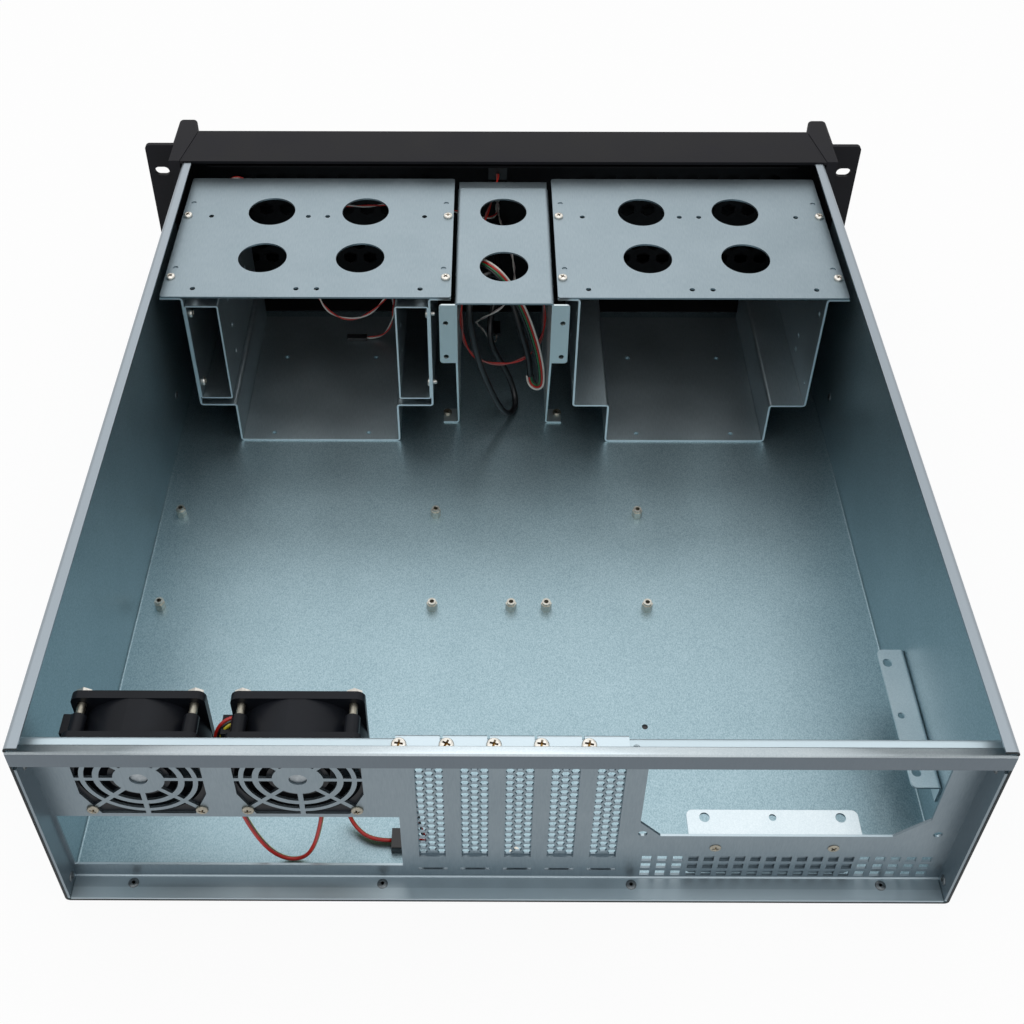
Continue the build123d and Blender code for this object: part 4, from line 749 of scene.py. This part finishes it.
def copies_tree():
    """Geometry nodes: one object at every vertex, along the vertex's own direction, turned at random."""
    tree = bpy.data.node_groups.new("copies at places", "GeometryNodeTree")
    socket(tree, "Places", "NodeSocketGeometry")
    ids = {
        "Shape": socket(tree, "Shape", "NodeSocketObject"),
        "Finish": socket(tree, "Finish", "NodeSocketMaterial"),
        "Turn": socket(tree, "Turn", "NodeSocketFloat"),
        "Seed": socket(tree, "Seed", "NodeSocketInt"),
    }
    tree.interface.new_socket("Result", in_out="OUTPUT", socket_type="NodeSocketGeometry")
    given = add(tree, "NodeGroupInput").outputs
    shape = add(tree, "GeometryNodeObjectInfo", {"Object": given["Shape"]})
    facing = add(tree, "GeometryNodeInputNamedAttribute", {"Name": "facing"}, data_type="FLOAT_VECTOR")
    upright = add(
        tree,
        "FunctionNodeAlignRotationToVector",
        {"Vector": facing.outputs["Attribute"]},
        axis="Z",
        pivot_axis="AUTO",
    )
    limits = {2: 0.0, 3: given["Turn"], "Seed": given["Seed"]}
    chance = add(tree, "FunctionNodeRandomValue", limits, data_type="FLOAT")
    spin = add(tree, "FunctionNodeAxisAngleToRotation", {"Axis": (0, 0, 1), "Angle": chance.outputs[1]})
    turned_so = add(
        tree,
        "FunctionNodeRotateRotation",
        {"Rotation": upright.outputs["Rotation"], "Rotate By": spin.outputs["Rotation"]},
        rotation_space="LOCAL",
    )
    placed = add(
        tree,
        "GeometryNodeInstanceOnPoints",
        {"Points": given["Places"], "Instance": shape.outputs["Geometry"], "Rotation": turned_so.outputs["Rotation"]},
    )
    real = add(tree, "GeometryNodeRealizeInstances", {"Geometry": placed.outputs["Instances"]})
    done = add(tree, "GeometryNodeSetMaterial", {"Geometry": real.outputs["Geometry"], "Material": given["Finish"]})
    add(tree, "NodeGroupOutput", {"Result": done.outputs["Geometry"]})
    return tree, ids


copies, copies_ids = copies_tree()
print(copies.name, "in", len(copies.nodes), "nodes")


def copies_of(name, shape, places, material, turn=math.pi / 2, seed=1):
    """A plain mesh with one copy of a shape at each (place, direction), places in millimetres."""
    spots = [Vector(place) * mm for place, facing in places]
    made = mesh_object(name, spots, [])
    direction = made.data.attributes.new("facing", "FLOAT_VECTOR", "POINT")
    for number, (place, facing) in enumerate(places):
        direction.data[number].vector = facing
    made.modifiers.new("copies", "NODES").node_group = copies
    for key, value in (("Shape", shape), ("Finish", material), ("Turn", turn), ("Seed", seed)):
        made.modifiers["copies"][copies_ids[key]] = value
    plain = evaluated_mesh(made)
    made.modifiers.clear()
    made.data = plain
    print(f"{name}: {len(places)} copies, {len(plain.polygons)} faces")
    return made


# %% [markdown]
# ### Where the screws go
#
# The places are the same as in the solid model, in millimetres. Most are counted from the tray's rear edge.

# %% Screws: where they go
up, inward_right, out = (0, 0, 1), (1, 0, 0), (0, 1, 0)
panel_face = rear - 12.0
slot_middle = -4.9
slot_pitch = 20.32
tab_screw_aside = 11.8
tab_screw_back = 8.0
tab_top = 122.1
bay_middle = 119.0
plate_screw_aside = 83.5
plate_screw_backs = (334.3, 398.6)
plate_top = 121.2
cage_width = 149.2
cage_sheet = 1.2
cage_back = 315.4
adapter_sheet = 1.0
adapter_screw_inset = 8.5
adapter_screw_heights = (45.8, 102.0)
bracket_middle = -126.6
bracket_screw_aside = 28.0
bracket_screw_height = 30.2
side_bracket_face = -210.6
side_bracket_back = 81.3
foot_screw_aside = 36.5
foot_screw_back = 340.9
foot_top = 2.4
fan_middles = (165.3, 94.2)
fan_height = 88.2
fan_bolt_reach = 25.0

slot_places = [
    ((slot_middle + slot_pitch * (2 - number) + tab_screw_aside, rear - tab_screw_back, tab_top), up)
    for number in range(5)
]
plate_places = [
    ((side * bay_middle + across * plate_screw_aside, rear - back, plate_top), up)
    for side in (1, -1) for across in (-1, 1) for back in plate_screw_backs
]
adapter_face = cage_width / 2 - cage_sheet - adapter_sheet
adapter_places = [
    ((bay_middle + side * adapter_face, rear - cage_back - adapter_screw_inset, height), (-side, 0, 0))
    for side in (-1, 1) for height in adapter_screw_heights
]
bracket_places = [
    ((bracket_middle + side * bracket_screw_aside, panel_face, bracket_screw_height), out) for side in (-1, 1)
]
bracket_places += [
    ((side_bracket_face, rear - side_bracket_back + side * bracket_screw_aside, bracket_screw_height), inward_right)
    for side in (-1, 1)
]
foot_places = [((side * foot_screw_aside, rear - foot_screw_back, foot_top), up) for side in (-1, 1)]
bolt_places = [
    ((middle + across * fan_bolt_reach, panel_face, fan_height + raised * fan_bolt_reach), out)
    for middle in fan_middles for across in (-1, 1) for raised in (-1, 1)
]
print("fan bolts:", len(bolt_places), "places, the first at", [round(c, 1) for c in bolt_places[0][0]])

# %% Screws: the pieces
def put(piece, node=None):
    """Puts a finished piece on the case, and in the place of a solid if one is named."""
    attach(piece, "case")
    if node:
        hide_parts(node)


# Piece, solid, places, (head radius, head height, shank length, shank radius), finish and seed.
screw_kinds = (
    ("slot_screw_heads", "slot_screws", slot_places, (3.4, 1.9, 4.5, 1.45), nickel, 3),
    ("plate_screw_heads", "cage_plate_screws", plate_places, (2.9, 1.7, 4.5, 1.45), nickel, 5),
    ("adapter_screw_heads", "adapter_screws", adapter_places, (2.9, 1.7, 4.5, 1.45), nickel, 7),
    ("bracket_screw_heads", "psu_bracket_screws", bracket_places, (2.8, 0.7, 2.3, 1.45), aged_zinc, 9),
    ("foot_screw_heads", "bridge_foot_screws", foot_places, (2.9, 1.7, 2.4, 1.45), aged_zinc, 11),
    ("fan_bolt_heads", "fan_bolts", bolt_places, (2.9, 1.4, 29.6, 1.95), aged_zinc, 13),
)
for piece_name, node, places, size, finish, seed in screw_kinds:
    shape = cross_screw(piece_name + "_shape", *size)
    heads = copies_of(piece_name, shape, places, finish, seed=seed)
    put(heads, node)
    bpy.data.objects.remove(shape)
    solid_low = [round(c / mm, 1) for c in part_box(node)[0]]
    made_low = [round(min(v.co[axis] for v in heads.data.vertices) / mm, 1) for axis in range(3)]
    print("   solid starts at", solid_low, "and the piece at", made_low)

# %% [markdown]
# ### Rivets
#
# The rear panel is riveted to the tray. A blind rivet leaves a low domed head with the hole of its mandrel, painted
# near black as shade.

# %% Rivets
rivet_back = 7.8
foot_rivets_aside = (60.4, 181.4)
flange_rivet_aside = 210.5
flange_rivet_heights = (8.5, 106.8)
rail_rivet_aside = 211.8
rail_rivet_back = 328.0
rail_rivet_height = 29.5
mandrel_radius = 0.85

rivet_shape = turned("rivet_shape", [
    (0, -2.0), (1.55, -2.0), (1.55, 0), (2.6, 0), (2.55, 0.2), (2.2, 0.5), (1.5, 0.75), (0.95, 0.8), (0.8, 0.6),
    (0.75, -0.9), (0, -0.9),
])
# The mandrel hole takes the near black recess colour, as painted shade.
hollow = rivet_shape.data.attributes.new("recess", "FLOAT", "POINT")
for vertex in rivet_shape.data.vertices:
    away = math.hypot(vertex.co.x, vertex.co.y)
    hollow.data[vertex.index].value = 1.0 if away < mandrel_radius * mm else 0.0
rivet_places = []
for side in (1, -1):
    rivet_places += [((side * across, rear - rivet_back, foot_top), up) for across in foot_rivets_aside]
    rivet_places += [
        ((side * flange_rivet_aside, rear - rivet_back, height), (-side, 0, 0)) for height in flange_rivet_heights
    ]
    rivet_places += [((side * rail_rivet_aside, rear - rail_rivet_back, rail_rivet_height), (-side, 0, 0))]
put(copies_of("rivet_heads", rivet_shape, rivet_places, rivet_metal, turn=0.3), "tray_rivets")
bpy.data.objects.remove(rivet_shape)

# %% [markdown]
# ### Foils on the fan hubs
#
# In the round eye of each grille the fan's hub shows, closed by a plain disc of aluminium foil.

# %% Foils
foil = plated("aluminium foil", "#8E959A", "#A9B0B4", "#8E959A", 0.45)
foil_shape = turned("foil_shape", [(0, -0.05), (3.9, -0.05), (3.9, 0.2), (0, 0.2)])
hub_back = 13.2
hub_places = [((middle, rear - hub_back, fan_height), out) for middle in fan_middles]
put(copies_of("hub_foils", foil_shape, hub_places, foil, turn=0.0))
bpy.data.objects.remove(foil_shape)

# %% [markdown]
# ### Painted shade in a floor hole
#
# The one open hole in the floor would show the white floor through it. A thin black disc closes it from below,
# a dark piece that stands in for the shade under the case.

# %% Painted shade in the floor hole
end_shape = turned("end_shape", [(0, -0.3), (2.0, -0.3), (2.0, 0), (0, 0)])
hole_aside, hole_back, end_top = -74.9, 97.8, 0.4
hole_places = [((hole_aside, rear - hole_back, end_top), up)]
# A black disc under the hole, put there as painted shade.
put(copies_of("foot_peg_end", end_shape, hole_places, socket_plastic, turn=0.0))
bpy.data.objects.remove(end_shape)

# %% [markdown]
# ## The rolled hem
#
# The top edge of the rear panel is a hem: the sheet is rolled over into a soft round bar. It is the brightest
# line of the whole case, because its curve always finds some light, and its colour adds a painted highlight. The
# solid has a plain fold, so a thin bar with rounded edges is laid over its crest, in the bright bracket steel.

# %% The hem
def rounded_bar(name, box, radii, steps=6):
    """A bar along X with rounded edges. The box is (x, y, z) ranges, the radii run round from the low corner."""
    (x0, x1), (y0, y1), (z0, z1) = box
    corners = ((y0, z0, 180), (y1, z0, 270), (y1, z1, 0), (y0, z1, 90))
    profile = []
    for (y, z, start), radius in zip(corners, radii):
        middle = (y + radius if y == y0 else y - radius, z + radius if z == z0 else z - radius)
        for step in range(steps + 1):
            angle = math.radians(start + 90 * step / steps)
            profile.append((middle[0] + radius * math.cos(angle), middle[1] + radius * math.sin(angle)))
    count = len(profile)
    spots = [(x * mm, y * mm, z * mm) for x in (x0, x1) for y, z in profile]
    faces = [(i, (i + 1) % count, count + (i + 1) % count, count + i) for i in range(count)]
    faces += [tuple(reversed(range(count))), tuple(range(count, 2 * count))]
    return mesh_object(name, spots, faces)


hem_box = ((-212.6, 212.6), (rear - 4.1, rear + 0.4), (126.9, 128.55))
hem = rounded_bar("rolled_hem", hem_box, (0.3, 0.5, 1.1, 0.8))
# The bright bracket steel on the hem is a painted highlight, lighter than the panel's own sheet.
hem.data.materials.append(bracket_steel)
for face in hem.data.polygons:
    face.use_smooth = abs(face.normal.x) < 0.5
put(hem)
print("hem", len(hem.data.polygons), "faces")

# %% [markdown]
# ### Behind the low vents
#
# Behind the rows of square vents, the rear bracket's leg is carried on down to the floor as a sheet that stands in for
# the shade there: partly the bracket's own back, partly painted shade.

# %% The bracket's leg and the shade behind the vents
def sheet_plate(name, low, high, corner):
    """An upright sheet across X with two rounded lower corners, between two corners in millimetres."""
    outline = [(low.x, high.z), (low.x, low.z + corner), (low.x + corner, low.z), (high.x - corner, low.z)]
    outline += [(high.x, low.z + corner), (high.x, high.z)]
    count = len(outline)
    spots = [(x * mm, y * mm, z * mm) for y in (low.y, high.y) for x, z in outline]
    faces = [(i, count + i, count + (i + 1) % count, (i + 1) % count) for i in range(count)]
    faces += [tuple(range(count)), tuple(reversed(range(count, 2 * count)))]
    return mesh_object(name, spots, faces)


low, high = (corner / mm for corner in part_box("psu_bracket_rear"))
print("bracket from", [round(c, 1) for c in low], "to", [round(c, 1) for c in high])
side_inset = 0.4
overlap = 0.6
leg_front, leg_rear = 234.95, 235.95
leg_foot = 4.2
leg_corner = 3.0
leg_low = Vector((low.x + side_inset, leg_front, leg_foot))
leg_high = Vector((high.x - side_inset, leg_rear, low.z + overlap))
# A sheet that carries the bracket's leg on down and stands in for the shade behind the vents.
leg = sheet_plate("bracket_leg", leg_low, leg_high, leg_corner)
leg.data.materials.append(panel_steel)
put(leg)
print("leg", len(leg.data.polygons), "faces")
